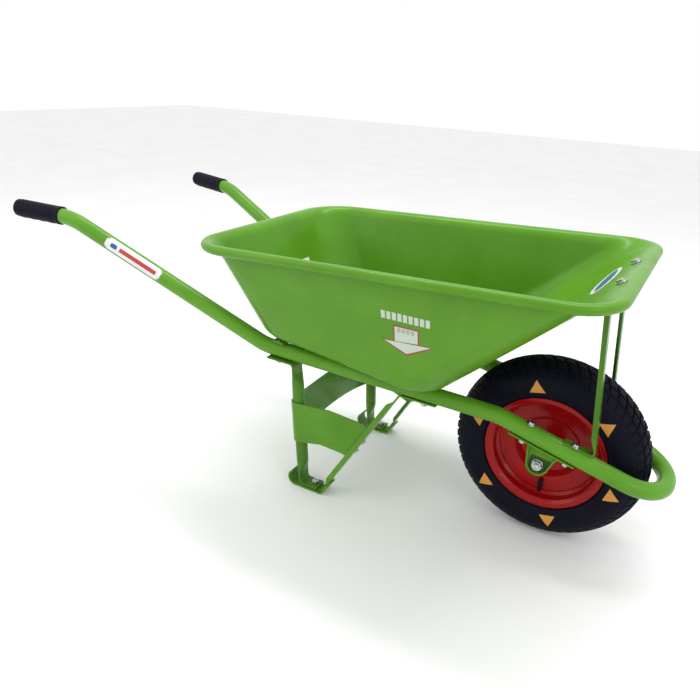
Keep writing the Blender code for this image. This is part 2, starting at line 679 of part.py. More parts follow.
def make_leg(name, side):
    """A round tube with both ends flattened and bent over into tabs."""
    flat = (LEG_TAB_HALF_WIDTH, LEG_TAB_THICK / 2, 0.30)
    half = (0.66 * LEG_TAB_HALF_WIDTH + 0.33 * LEG_RADIUS, 0.62 * LEG_RADIUS, 0.65)
    full = (LEG_RADIUS, LEG_RADIUS, 1.0)

    def shaft(z):
        return Vector((leg_axis(z).x, z))

    tail = beside_rail(LEG_TAIL_X, -(FRAME_RADIUS + GAP + LEG_TAB_THICK / 2))
    bend = 0.008
    low = rounded([Vector((LEG_TOE_X, LEG_TAB_Z)), shaft(LEG_TAB_Z), shaft(LEG_TAB_Z + 2.2 * bend)], bend)
    high = rounded([shaft(LEG_CROWN.y - 2.2 * bend), LEG_CROWN, tail], bend)
    sections = [(p, flat) for p in low]
    sections += [(shaft(LEG_TAB_Z + 4.5 * bend), half), (shaft(LEG_TAB_Z + 7 * bend), full)]
    sections += [(shaft(LEG_CROWN.y - 6.5 * bend), full), (shaft(LEG_CROWN.y - 4.2 * bend), half)]
    sections += [(p, flat) for p in high]
    path = [p for p, _ in sections]
    rings = []
    for i, (point, (wide, thick, power)) in enumerate(sections):
        ahead = path[min(i + 1, len(path) - 1)] - path[max(i - 1, 0)]
        square = Vector((-ahead.y, ahead.x)).normalized()
        y = rail_y(point.x) if point.x < LEG_CROWN.x else leg_axis(point.y).y
        ring = []
        for k in range(12):
            a = 2 * math.pi * k / 12
            c, s = math.cos(a), math.sin(a)
            c, s = math.copysign(abs(c) ** power, c), math.copysign(abs(s) ** power, s)
            spot = point + square * (thick * s)
            ring.append(Vector((spot.x, side * (y + wide * c), spot.y)))
        rings.append(ring)
    leg = loft(name, rings, "green")
    size = BOLT_RADIUS + HOLE_CLEARANCE
    hole(leg, Vector((SHOE_BOLT_X, side * SHOE_Y, LEG_TAB_Z)), Vector((0, 0, 1)), size, 0.008, 8)
    spot = beside_rail(REAR_STRAP_X, -(FRAME_RADIUS + GAP + LEG_TAB_THICK / 2))
    hole(leg, Vector((spot.x, side * rail_y(REAR_STRAP_X), spot.y)), rail_up(REAR_STRAP_X), size, 0.008, 8)


def brace_edge(z_end, z_arm, z_leg, arch):
    """One long edge of the brace, from its flange on the left stay to the middle of the band."""
    axis = stay_axis()
    half_sheet = BRACE_SHEET / 2
    bar = on_stay(z_end)
    end = Vector((bar.x - (STAY_THICK / 2 + GAP + half_sheet) / axis.y,
                  stay_lane(bar.x) + STAY_WIDTH / 2 - STAY_THICK - GAP - half_sheet))
    lean_in = (rail_y(STAY_TOP_X) - SHOE_Y) / (STAY_TOP_X - STAY_FOOT_X)
    past_web = (STAY_FLANGE + BRACE_SHEET) / axis.y
    clear = end - Vector((past_web, past_web * lean_in * axis.x ** 2))
    tip = end - Vector((0, STAY_WIDTH - STAY_THICK - 4 * GAP - BRACE_SHEET / 2))
    wrap = LEG_RADIUS + 2 * GAP + half_sheet
    leg = Vector(leg_axis(z_leg).xy)
    arm = clear - (leg + Vector((0, wrap)))
    first, steps = math.atan2(arm.x, -arm.y), 6
    bend = []
    for k in range(steps + 1):
        a = first + (math.pi - first) * k / steps
        bend.append(leg + Vector((math.cos(a), math.sin(a))) * wrap)
    points = [(tip, z_end), (end, z_end), (clear, (2 * z_end + z_arm) / 3), ((clear + bend[0]) / 2, z_arm)]
    points += [(spot, z_leg) for spot in bend]
    for share in (0.55, 0.0):
        points.append((Vector((bend[-1].x, bend[-1].y * share)), z_leg + arch * (1 - share ** 2)))
    return points + [(Vector((p.x, -p.y)), z) for p, z in points[-2::-1]]


def make_brace():
    """One pressed sheet bent to a U: round behind both legs, its arms out to the stays."""
    top = brace_edge(BRACE_TOP_Z - BRACE_END_DROP, BRACE_TOP_Z - 0.003, BRACE_TOP_Z, BRACE_ARCH)
    low = brace_edge(BRACE_LOW_Z - BRACE_LOW_DROP, BRACE_LOW_Z + 0.004, BRACE_LOW_Z, BRACE_LOW_ARCH)
    corners = []
    for edge in (top, low):
        path = [p for p, _ in edge]
        for distance in (BRACE_SHEET / 2, -BRACE_SHEET / 2):
            shifted = flat_offset(path, distance)
            corners.append([Vector((p.x, p.y, z)) for p, (_, z) in zip(shifted, edge)])
    top_out, top_in, low_out, low_in = corners
    brace = loft("leg_brace", list(zip(top_out, top_in, low_in, low_out)), "green")
    axis = stay_axis()
    square = Vector((-axis.y, 0, axis.x))
    for side in SIDES.values():
        for z in BRACE_BOLTS_Z:
            spot = on_stay(z)
            middle = Vector((spot.x, side * (stay_lane(spot.x) - BRACE_BOLT_INSET), z))
            hole(brace, middle + square * STAY_THICK, square, SMALL_BOLT_RADIUS + HOLE_CLEARANCE, 0.006, 8)


def make_leg_bolts():
    up = Vector((0, 0, 1))
    for word, side in SIDES.items():
        for place, x, tab in (("rear", REAR_STRAP_X, LEG_TAB_THICK), ("front", FRONT_STRAP_X, STAY_THICK)):
            lift = FRAME_RADIUS + STRAP_THICK
            seat = beside_rail(x, lift)
            stack = lift + FRAME_RADIUS + GAP + tab + GAP
            bolt(f"frame_bolt_{place}_{word}", Vector((seat.x, side * rail_y(x), seat.y)), rail_up(x),
                 stack + NUT_HEIGHT + BOLT_TAIL, head_radius=FLUSH_RADIUS, head_height=STRAP_THICK - GAP,
                 nut_at=stack, style="flush")
        stack = SHOE_THICK + STAY_THICK + LEG_TAB_THICK + 3 * GAP
        base = Vector((SHOE_BOLT_X, side * SHOE_Y, GAP))
        bolt("shoe_bolt_" + word, base, -up, stack - GAP + NUT_HEIGHT + BOLT_TAIL, head_radius=FLUSH_RADIUS,
             head_height=SHOE_THICK - GAP, style="flush")
        nut("shoe_nut_" + word, Vector((base.x, base.y, stack)), up, NUT_BORE,
            HEX_RADIUS, NUT_HEIGHT)
        axis = stay_axis()
        out = Vector((axis.y, 0, -axis.x))
        for number, z in enumerate(BRACE_BOLTS_Z):
            spot = on_stay(z)
            middle = Vector((spot.x, side * (stay_lane(spot.x) - BRACE_BOLT_INSET), z))
            stack = STAY_THICK + BRACE_SHEET + 3 * GAP
            bolt(f"brace_bolt_{('upper', 'lower')[number]}_{word}", middle + out * (STAY_THICK / 2 + GAP), out,
                 stack + NUT_HEIGHT + BOLT_TAIL / 2, radius=SMALL_BOLT_RADIUS, head_radius=SMALL_HEX_RADIUS,
                 head_height=SMALL_HEX_HEIGHT, nut_at=stack)


# ---------------------------------------------------------------- front posts and axle brackets
def post_lane(x):
    """Over the tube at the foot, in line with the lip bolt higher up."""
    return rail_y(x) if x < POST_FOOT_X - 0.012 else POST_Y


def make_post(name, side):
    """Angle iron from the tube beside the wheel up to the tray's front lip."""
    lift = FRAME_RADIUS + GAP + POST_THICK / 2
    foot, tail = beside_rail(POST_FOOT_X, lift), beside_rail(POST_TAIL_X, lift)
    drop = GAP + POST_THICK / 2
    near, far = lip_underside(POST_TOP_X)[0], lip_underside(POST_TIP_X)[0]
    square = Vector((-(far - near).y, (far - near).x)).normalized()
    top, tip = near - square * drop, far - square * drop
    axis = (top - foot).normalized()
    length = (top - foot).length
    path = rounded([tail, foot, top, tip], 0.005)
    tab = POST_THICK + FLUSH_STEP
    extra = [(0.012, tab), (0.034, POST_FLANGE), (length - 0.030, POST_FLANGE), (length - 0.016, tab)]
    half = len(path) // 2
    points = path[:half] + [foot + axis * s for s, _ in extra] + path[half:]
    heights = [tab] * half + [h for _, h in extra] + [tab] * half
    post = angle_iron(name, points, POST_THICK, POST_WIDTH / 2, heights, post_lane, side, 1, "green")
    size = BOLT_RADIUS + HOLE_CLEARANCE
    x = BRACKET_BOLTS_X["front"]
    spot = beside_rail(x, lift)
    hole(post, Vector((spot.x, side * rail_y(x), spot.y)), rail_up(x), size, 0.006, 8)
    point, up = lip_underside(LIP_BOLT_X)
    hole(post, Vector((point.x, side * POST_Y, point.y)), up, size, 0.012, 8)


def make_lip_bolt(word, side):
    point, up = lip_underside(LIP_BOLT_X)
    surface = Vector((point.x, side * POST_Y, point.y))
    seat = surface + up * (TRAY_SHEET + 2 * GAP)
    grip = TRAY_SHEET + 4 * GAP + POST_THICK + LIP_SLACK
    bolt("lip_bolt_" + word, seat, up, grip + NUT_HEIGHT + BOLT_TAIL)
    nut("lip_nut_" + word, seat - up * grip, -up, NUT_BORE, HEX_RADIUS, NUT_HEIGHT)


def bracket_outline():
    """Tongue of the axle bracket in (x, z), round from the front top corner."""
    level = -(FRAME_RADIUS + GAP + BRACKET_SHEET / 2)
    top_front, top_rear = beside_rail(BRACKET_TONGUE_FRONT_X, level), beside_rail(BRACKET_TONGUE_REAR_X, level)
    centre = Vector((0, AXLE_Z))
    r = BRACKET_TONGUE_RADIUS
    points = [top_front, centre + Vector((1.39 * r, 0.80 * r))]
    for degrees in (-25, -58, -90, -122, -155, -180):
        a = math.radians(degrees)
        points.append(centre + Vector((math.cos(a), math.sin(a))) * r)
    points += [centre + Vector((-1.05 * r, 0.6 * r)), top_rear]
    return points


def closed_offset(points, distance):
    """Shift a closed (x, z) outline sideways with mitred corners."""
    out = []
    count = len(points)
    for i, point in enumerate(points):
        u = (point - points[i - 1]).normalized()
        v = (points[(i + 1) % count] - point).normalized()
        left = Vector((-u.y, u.x)) + Vector((-v.y, v.x))
        left.normalize()
        out.append(point + left * (distance / max(0.5, left.dot(Vector((-u.y, u.x))))))
    return out


def make_bracket(name, side):
    """A pressed cup: a tongue round the axle with a turned edge, and a strip under the tube."""
    outer = bracket_outline()
    area = sum(a.x * b.y - b.x * a.y for a, b in zip(outer, outer[1:] + outer[:1]))
    inner = closed_offset(outer, BRACKET_SHEET * (1 if area > 0 else -1))
    back, web, face = BRACKET_INNER_Y, BRACKET_INNER_Y + BRACKET_SHEET, BRACKET_INNER_Y + BRACKET_DEPTH
    rings = [[Vector((p.x, side * y, p.y)) for p in points]
             for points, y in ((outer, back), (outer, face), (inner, face), (inner, web))]
    bracket = loft(name, rings, "green")
    level = -(FRAME_RADIUS + GAP + BRACKET_SHEET / 2)
    ends = [beside_rail(BRACKET_REAR_X, level), beside_rail(BRACKET_FRONT_X, level)]
    bar = strip("add_strip_" + name, ends, BRACKET_SHEET, BRACKET_STRIP_WIDTH / 2, rail_y, side, None)
    bar.hide_render = True
    bar.display_type = "WIRE"
    combine(bracket, bar, "UNION")
    hole(bracket, Vector((0, side * BRACKET_INNER_Y, AXLE_Z)), Vector((0, 1, 0)),
         AXLE_RADIUS + HOLE_CLEARANCE, 0.008)
    for x in BRACKET_BOLTS_X.values():
        spot = beside_rail(x, level)
        hole(bracket, Vector((spot.x, side * rail_y(x), spot.y)), rail_up(x), BOLT_RADIUS + HOLE_CLEARANCE,
             0.010, 8)


def make_bracket_bolts(word, side):
    for place, x in BRACKET_BOLTS_X.items():
        on_top = POST_THICK + GAP if place == "front" else 0
        lift = FRAME_RADIUS + on_top + GAP
        seat = beside_rail(x, lift)
        up = rail_up(x)
        stack = lift + FRAME_RADIUS + GAP + BRACKET_SHEET + GAP
        centre = Vector((seat.x, side * rail_y(x), seat.y))
        bolt(f"axle_bracket_bolt_{place}_{word}", centre, up, stack + NUT_HEIGHT + BOLT_TAIL)
        nut(f"axle_bracket_nut_{place}_{word}", centre - up * stack, -up, NUT_BORE,
            HEX_RADIUS, NUT_HEIGHT)


# ---------------------------------------------------------------- wheel
def make_axle():
    along = Vector((0, 1, 0))
    centre = Vector((0, 0, AXLE_Z))
    ends = [centre - along * AXLE_HALF_LENGTH, centre + along * AXLE_HALF_LENGTH]
    loft("axle", [disc(p, along, AXLE_RADIUS, 12) for p in ends], "steel")
    bore = (AXLE_RADIUS + GAP) / math.cos(math.pi / 12)
    for word, side in SIDES.items():
        start = HUB_HALF_LENGTH + GAP
        stop = BRACKET_INNER_Y - GAP
        rings = []
        for y, radius in ((start, SPACER_RADIUS), (stop, SPACER_RADIUS), (stop, bore), (start, bore)):
            rings.append(disc(centre + along * side * y, along, radius, 12))
        loft("axle_spacer_" + word, rings, "zinc", loop=True)
        seat = centre + along * side * (BRACKET_INNER_Y + BRACKET_SHEET + GAP)
        nut("axle_nut_" + word, seat, along * side, bore, AXLE_NUT_RADIUS, AXLE_NUT_HEIGHT)


def make_hub():
    bore = BEARING_RADIUS + GAP
    pocket = HUB_HALF_LENGTH - BEARING_WIDTH - GAP
    half = [(HUB_RADIUS, HUB_HALF_LENGTH), (bore / math.cos(math.pi / HUB_SEGMENTS), HUB_HALF_LENGTH),
            (bore / math.cos(math.pi / HUB_SEGMENTS), pocket), (HUB_BORE, pocket)]
    lathe("hub", half + [(r, -y) for r, y in half[::-1]], "red", WHEEL, HUB_SEGMENTS)
    inner = (AXLE_RADIUS + GAP) / math.cos(math.pi / 12)
    for word, side in SIDES.items():
        rings = []
        outer = BEARING_RADIUS
        for y, radius in ((0, outer), (BEARING_WIDTH, outer), (BEARING_WIDTH, inner), (0, inner)):
            centre = Vector((0, side * (HUB_HALF_LENGTH - y), 0))
            rings.append(disc(centre, Vector((0, 1, 0)), radius, HUB_SEGMENTS))
        loft("bearing_" + word, rings, "steel", WHEEL, loop=True)


def make_rim():
    """Pressed rim: two flanges and seats, a well between them, and a dished disc to the hub."""
    t = RIM_SHEET
    seat, well, edge = RIM_SEAT_RADIUS, RIM_WELL_RADIUS, RIM_FLANGE_RADIUS
    eye = HUB_RADIUS + GAP + 0.0002
    flange = [(edge, RIM_HALF_WIDTH), (seat + 0.004, RIM_HALF_WIDTH), (seat - t, RIM_HALF_WIDTH - 0.006),
              (seat - t, 0.0200), (well - t, 0.0140)]
    ring, disc_y, outer, inner = RIM_RING_Y, RIM_DISC_Y, RIM_RING_OUTER, RIM_RING_INNER
    disc_left = [(well - t, ring + t), (outer, ring + t), (inner, ring + t), (inner - 0.010, disc_y + t),
                 (eye, disc_y + t)]
    disc_right = [(eye, disc_y), (inner - 0.011, disc_y), (inner - 0.001, ring), (outer, ring),
                  (well - t, ring)]
    tyre_side = [(edge, -(RIM_HALF_WIDTH - t)), (seat + 0.005, -(RIM_HALF_WIDTH - t)),
                 (seat, -(RIM_HALF_WIDTH - 0.0075)), (seat, -0.0185), (well, -0.0125)]
    points = flange + disc_left + disc_right + [(r, -y) for r, y in flange[::-1]]
    points += tyre_side + [(r, -y) for r, y in tyre_side[::-1]]
    rim = lathe("rim", points, "red", WHEEL)
    hole(rim, Vector((0, STEM_Y, -(well + t / 2))), Vector((0, 0, 1)), STEM_RADIUS + HOLE_CLEARANCE, 0.008, 8)


def tyre_section():
    """Half of the tyre's outer outline, from the bead's toe out to the crown."""
    seat = RIM_SEAT_RADIUS + GAP + 0.0002
    lip = RIM_HALF_WIDTH - RIM_SHEET - GAP
    rise = WHEEL_RADIUS - TYRE_WIDEST_RADIUS
    points = [(seat, 0.0200), (seat, lip - 0.0055), (seat + 0.0045, lip), (RIM_FLANGE_RADIUS + 0.0010, lip)]
    for degrees in (-26, -9, 8, 25, 41, 55, 67, 78):
        a = math.radians(degrees)
        points.append((TYRE_WIDEST_RADIUS + rise * math.sin(a), TYRE_HALF_WIDTH * math.cos(a)))
    return points


def make_tyre():
    half = tyre_section()
    outer = half + [(WHEEL_RADIUS, 0.08 * TYRE_HALF_WIDTH)]
    wall = TYRE_WALL
    crown, w = WHEEL_RADIUS - 1.5 * wall, TYRE_HALF_WIDTH - wall
    inner = [(crown, 0.25 * w), (crown - 0.006, 0.68 * w), (crown - 0.020, 0.97 * w), (crown - 0.038, w),
             (RIM_FLANGE_RADIUS + 0.003, 0.80 * w), (RIM_SEAT_RADIUS + 0.007, 0.60 * w)]
    points = outer + [(r, -y) for r, y in outer[::-1]]
    points += [(r, -y) for r, y in inner[::-1]] + inner
    lathe("tyre", points, "rubber", WHEEL)
    make_inner_tube(crown, w)


def make_inner_tube(crown, w):
    """An air tube that fills the tyre, open where the stem is moulded in."""
    low = RIM_SEAT_RADIUS + 0.006
    centre = (crown + low) / 2
    tall, wide = (crown - low) / 2 - 0.0020, w - 0.0080

    def ellipse(inset, count=10):
        turns = [2 * math.pi * k / count for k in range(count)]
        return [(centre + (tall - inset) * math.cos(a), (wide - inset) * math.sin(a)) for a in turns]

    tube = lathe("inner_tube", ellipse(0), "rubber", WHEEL, 32)
    hollow = lathe("cut_air", ellipse(TUBE_RUBBER), None, WHEEL, 32)
    hollow.hide_render = True
    hollow.display_type = "WIRE"
    combine(tube, hollow, "DIFFERENCE")
    hole(tube, Vector((0, STEM_Y, -low)), Vector((0, 0, 1)), 0.5 * STEM_RADIUS, 0.012, 8)
    down = Vector((0, 0, -1))
    base = Vector((0, STEM_Y, -(centre - tall - GAP - 0.0012)))
    tip = Vector((0, STEM_Y, base.z + STEM_LENGTH))
    loft("valve_stem", [disc(base, down, STEM_RADIUS, 10), disc(tip, down, STEM_RADIUS, 10)], "rubber", WHEEL)
    start = tip - down * GAP
    cap = [disc(start, down, CAP_RADIUS, 10), disc(start - down * (CAP_LENGTH * 0.8), down, CAP_RADIUS, 10),
           disc(start - down * CAP_LENGTH, down, 0.6 * CAP_RADIUS, 10)]
    loft("valve_cap", cap, "rubber", WHEEL)


# ---------------------------------------------------------------- assembly
def centre_on_origin():
    """Put the middle of the barrow's length over the origin."""
    lowest, highest = math.inf, -math.inf
    for name in ("frame_tube", "grip_right"):
        for vertex in bpy.data.objects[name].data.vertices:
            lowest, highest = min(lowest, vertex.co.x), max(highest, vertex.co.x)
    BARROW.location.x = -(lowest + highest) / 2


def empty(name, parent=None):
    obj = bpy.data.objects.new(name, None)
    bpy.context.scene.collection.objects.link(obj)
    obj.parent = parent
    return obj


for old in list(bpy.data.objects):
    bpy.data.objects.remove(old)
BARROW = empty("barrow")
WHEEL = empty("wheel_axis", BARROW)
WHEEL.location = (0, 0, AXLE_Z)

make_frame()
for side_word, side_sign in SIDES.items():
    make_grip("grip_" + side_word, side_sign)
make_tray()
make_tray_bolts()
for side_word, side_sign in SIDES.items():
    make_leg("leg_" + side_word, side_sign)
    make_stay("leg_stay_" + side_word, side_sign)
    make_shoe("shoe_" + side_word, side_sign)
make_brace()
make_leg_bolts()
for side_word, side_sign in SIDES.items():
    make_post("front_post_" + side_word, side_sign)
    make_lip_bolt(side_word, side_sign)
    make_bracket("axle_bracket_" + side_word, side_sign)
    make_bracket_bolts(side_word, side_sign)
make_axle()
make_hub()
make_rim()
make_tyre()
centre_on_origin()
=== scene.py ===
import json
import math

import bmesh
import bpy
from mathutils import Matrix, Vector
from mathutils.bvhtree import BVHTree


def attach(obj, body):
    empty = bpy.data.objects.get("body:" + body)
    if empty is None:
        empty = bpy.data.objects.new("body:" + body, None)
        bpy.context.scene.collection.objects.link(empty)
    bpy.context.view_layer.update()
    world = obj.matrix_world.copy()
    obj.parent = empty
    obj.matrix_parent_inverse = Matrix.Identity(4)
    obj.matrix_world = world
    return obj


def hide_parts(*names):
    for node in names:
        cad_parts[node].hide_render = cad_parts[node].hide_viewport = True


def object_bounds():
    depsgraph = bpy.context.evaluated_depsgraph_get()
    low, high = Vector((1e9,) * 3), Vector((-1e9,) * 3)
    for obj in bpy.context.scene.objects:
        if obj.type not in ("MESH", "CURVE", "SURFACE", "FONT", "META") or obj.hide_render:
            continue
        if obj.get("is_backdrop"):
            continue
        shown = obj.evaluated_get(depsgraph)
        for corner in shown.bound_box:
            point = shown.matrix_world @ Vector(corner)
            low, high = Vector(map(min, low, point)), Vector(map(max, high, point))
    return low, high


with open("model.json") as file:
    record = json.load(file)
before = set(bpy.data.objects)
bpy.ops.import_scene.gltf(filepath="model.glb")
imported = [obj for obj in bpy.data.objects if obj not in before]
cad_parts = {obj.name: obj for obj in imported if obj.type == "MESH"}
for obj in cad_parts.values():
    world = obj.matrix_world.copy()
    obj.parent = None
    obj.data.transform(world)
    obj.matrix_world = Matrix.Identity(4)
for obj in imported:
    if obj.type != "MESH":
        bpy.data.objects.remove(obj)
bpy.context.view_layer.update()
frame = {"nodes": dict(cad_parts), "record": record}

# ---------------------------------------------------------------------------------------------
# Frame tube. One 1 1/4 inch steel tube, bent cold from grip to grip round the nose of the
# wheel, then dipped and sprayed with green gloss enamel. Everything else is bolted to it.
# Stations along the barrow are measured from the axle, forward.
AXLE = Vector(frame["record"]["behaviour"]["joints"][0]["pos_m"])
GAP = 0.0003
SIDES = {"right": -1, "left": 1}
TUBE = 0.0159
HANDLE_END = Vector((-1.1290, 0.2769, 0.5238))
HANDLE_BEND_X, HANDLE_BEND_Z, HANDLE_BEND_RADIUS = -0.9910, 0.5170, 0.158
SEAT_BEND, SEAT_BEND_RADIUS = Vector((-0.5480, 0.1690, 0.3120)), 0.100
WHEEL_BEND, WHEEL_BEND_RADIUS = Vector((-0.0820, 0.0850, 0.2610)), 0.100
NOSE = Vector((0.2094, 0.0700, 0.1780))
ENAMEL_GREEN = (0.096, 0.278, 0.014)


def nodes_of(name, roughness, metallic=0.0, coat=0.0, coat_roughness=0.1, specular=0.5):
    """A new material with its Principled shader set, and a maker of linked nodes for it."""
    material = bpy.data.materials.new(name)
    material.use_nodes = True
    tree = material.node_tree
    shader = tree.nodes["Principled BSDF"]
    shader.inputs["Roughness"].default_value = roughness
    shader.inputs["Metallic"].default_value = metallic
    shader.inputs["Coat Weight"].default_value = coat
    shader.inputs["Coat Roughness"].default_value = coat_roughness
    shader.inputs["Specular IOR Level"].default_value = specular

    def add(kind, links=(), **values):
        node = tree.nodes.new(kind)
        for key, value in values.items():
            if key.startswith("in_"):
                node.inputs[key[3:].replace("_", " ")].default_value = value
            else:
                setattr(node, key, value)
        for socket, source in links:
            tree.links.new(source, node.inputs[socket])
        return node

    return material, shader, add, tree.links.new


def ramp(add, source, stops):
    """A colour ramp over source; stops are (place, grey or colour)."""
    node = add("ShaderNodeValToRGB", [("Fac", source)])
    while len(node.color_ramp.elements) < len(stops):
        node.color_ramp.elements.new(0.5)
    for element, (place, tone) in zip(node.color_ramp.elements, stops):
        element.position = place
        tone = tone if isinstance(tone, tuple) else (tone, tone, tone)
        element.color = (*tone, 1.0)
    return node.outputs["Color"]


def noise_of(add, scale, detail=3.0, stretch=(1, 1, 1)):
    """Noise fixed to the piece, in metres; a larger scale is finer."""
    place = add("ShaderNodeTexCoord")
    sized = add("ShaderNodeMapping", [("Vector", place.outputs["Object"])], in_Scale=stretch)
    noise = add("ShaderNodeTexNoise", [("Vector", sized.outputs["Vector"])], in_Scale=scale,
                in_Detail=detail)
    return noise.outputs["Fac"]


def mix(add, share, first, second):
    """Blend two colours; each is a colour or an output."""
    node = add("ShaderNodeMix", [("Factor", share)], data_type="RGBA")
    for slot, value in ((6, first), (7, second)):
        if isinstance(value, tuple):
            node.inputs[slot].default_value = (*value, 1.0)
        else:
            node.id_data.links.new(value, node.inputs[slot])
    return node.outputs[2]


def enamel(name, colour, peel=0.10, shade=0.16, gloss=0.28):
    """Sprayed gloss enamel: slight orange peel, uneven film, and a little workshop dust."""
    material, shader, add, link = nodes_of(name, gloss, coat=0.12, coat_roughness=0.06, specular=0.16)
    film = noise_of(add, 9.0, 4.0)
    deep = tuple(c * (1 - shade) for c in colour)
    pale = tuple(min(1.0, c * (1 + 0.6 * shade) + 0.004) for c in colour)
    base = mix(add, ramp(add, film, [(0.30, 0.0), (0.70, 1.0)]), deep, pale)
    dust = noise_of(add, 55.0, 6.0)
    specks = ramp(add, dust, [(0.60, 0.0), (0.78, 0.10)])
    dusty = tuple(0.55 * c + 0.10 for c in colour)
    link(mix(add, specks, base, dusty), shader.inputs["Base Color"])
    smear = noise_of(add, 24.0, 5.0, (1, 1, 3))
    rough = ramp(add, smear, [(0.35, gloss * 0.80), (0.75, gloss * 1.40)])
    link(rough, shader.inputs["Roughness"])
    orange_peel = noise_of(add, 420.0, 2.0)
    waves = noise_of(add, 38.0, 2.0)
    height = add("ShaderNodeMath", [(0, waves), (1, orange_peel), (2, orange_peel)],
                 operation="MULTIPLY_ADD")
    bump = add("ShaderNodeBump", [("Height", height.outputs["Value"])], in_Strength=peel,
               in_Distance=0.0006)
    link(bump.outputs["Normal"], shader.inputs["Normal"])
    link(bump.outputs["Normal"], shader.inputs["Coat Normal"])
    return material


def make_piece(name, verts, faces, material, body="barrow", replaces=(), slot=None, base=None, sharp=35,
               soften=0.0):
    """One visible piece. Points are stations from base, which is the axle's place on the ground."""
    base = Vector((AXLE.x, 0, 0)) if base is None else base
    mesh = bpy.data.meshes.new(name)
    mesh.from_pydata([tuple(Vector(v) + base) for v in verts], [], faces)
    work = bmesh.new()
    work.from_mesh(mesh)
    bmesh.ops.remove_doubles(work, verts=work.verts, dist=1e-6)
    bmesh.ops.recalc_face_normals(work, faces=work.faces)
    if soften:
        edges = [e for e in work.edges if len(e.link_faces) == 2 and e.calc_face_angle() > math.radians(40)]
        bmesh.ops.bevel(work, geom=edges, offset=soften, segments=2, profile=0.7, affect="EDGES",
                        clamp_overlap=True)
    work.to_mesh(mesh)
    work.free()
    mesh.shade_smooth()
    mesh.set_sharp_from_angle(angle=math.radians(sharp))
    mesh.materials.append(material)
    piece = bpy.data.objects.new(name, mesh)
    bpy.context.scene.collection.objects.link(piece)
    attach(piece, body)
    if replaces:
        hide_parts(*replaces)
    return piece


def skin(rings, loop=False, caps=True):
    """Points and faces over a row of rings that have the same number of points."""
    count = len(rings[0])
    verts = [v for ring in rings for v in ring]
    faces = []
    for i in range(len(rings) if loop else len(rings) - 1):
        a, b = i * count, ((i + 1) % len(rings)) * count
        for k in range(count):
            n = (k + 1) % count
            faces.append((a + k, a + n, b + n, b + k))
    if caps and not loop:
        faces.append(tuple(range(count))[::-1])
        faces.append(tuple(range(len(verts) - count, len(verts))))
    return verts, faces


def fillet(points, radii, steps):
    """Round the inner corners of an open run of points with arcs."""
    out = [points[0].copy()]
    for i in range(1, len(points) - 1):
        corner = points[i]
        back, ahead = points[i - 1] - corner, points[i + 1] - corner
        u, v = back.normalized(), ahead.normalized()
        inside = u.angle(v)
        cut = min(radii[i - 1] / math.tan(inside / 2), 0.49 * back.length, 0.49 * ahead.length)
        radius = cut * math.tan(inside / 2)
        centre = corner + (u + v).normalized() * (radius / math.sin(inside / 2))
        start, end = corner + u * cut - centre, corner + v * cut - centre
        sweep = math.pi - inside
        for k in range(steps + 1):
            a, b = math.sin((1 - k / steps) * sweep), math.sin(k / steps * sweep)
            out.append(centre + (start * a + end * b) / math.sin(sweep))
    out.append(points[-1].copy())
    return out


def along(path, up):
    """Unit frames (point, first, second) carried along a path without twist."""
    frames = []
    for i, point in enumerate(path):
        ahead = (path[min(i + 1, len(path) - 1)] - path[max(i - 1, 0)]).normalized()
        up = (up - ahead * up.dot(ahead)).normalized()
        frames.append((point, up, ahead.cross(up)))
    return frames


def straight(a, b, x):
    return a + (b - a) * ((x - a.x) / (b.x - a.x))


def rail(x):
    """Middle of the left frame tube under the tray or beside the wheel."""
    return straight(SEAT_BEND, WHEEL_BEND, x) if x < WHEEL_BEND.x else straight(WHEEL_BEND, NOSE, x)


def rail_y(x):
    return rail(x).y


def rail_up(x):
    ahead = rail(x + 0.001) - rail(x - 0.001)
    return Vector((-ahead.z, 0, ahead.x)).normalized()


def beside_rail(x, lift):
    """The (x, z) point that is lift above the tube's middle line."""
    up = rail_up(x)
    return Vector((x + up.x * lift, rail(x).z + up.z * lift))


HANDLE_BEND = straight(HANDLE_END, SEAT_BEND, HANDLE_BEND_X)
HANDLE_BEND.z = HANDLE_BEND_Z
GRIP_LENGTH, GRIP_RADIUS, GRIP_WALL = 0.1180, 0.0195, 0.0045


def mirrored(p):
    return Vector((p.x, -p.y, p.z))


def frame_path(steps):
    left = [HANDLE_END, HANDLE_BEND, SEAT_BEND, WHEEL_BEND, NOSE]
    right = [mirrored(p) for p in left]
    radii = [HANDLE_BEND_RADIUS, SEAT_BEND_RADIUS, WHEEL_BEND_RADIUS, NOSE.y]
    start = right[0] + (right[1] - right[0]).normalized() * (GRIP_WALL + GAP)
    end = mirrored(start)
    return fillet([start] + right[1:] + left[:0:-1] + [end], radii + radii[::-1], steps)


tube_rings = []
for point, first, second in along(frame_path(14), Vector((0, 0, 1))):
    turns = [2 * math.pi * k / 40 for k in range(40)]
    tube_rings.append([point + (first * math.cos(a) + second * math.sin(a)) * TUBE for a in turns])
make_piece("frame_tube_drawn", *skin(tube_rings), enamel("frame_enamel", ENAMEL_GREEN),
           replaces=["frame_tube"], slot="frame_paint")

# ---------------------------------------------------------------------------------------------
# Grips. Soft black vinyl sleeves with a closed end, dipped over the tube: fine rings round
# them for hold, four shallow finger bumps underneath and a rolled cuff at the front.
GRIP_RINGS, GRIP_END_ROUND = 22, 0.008
GRIP_DARK, GRIP_PALE = (0.0030, 0.0026, 0.0095), (0.0055, 0.0045, 0.0150)


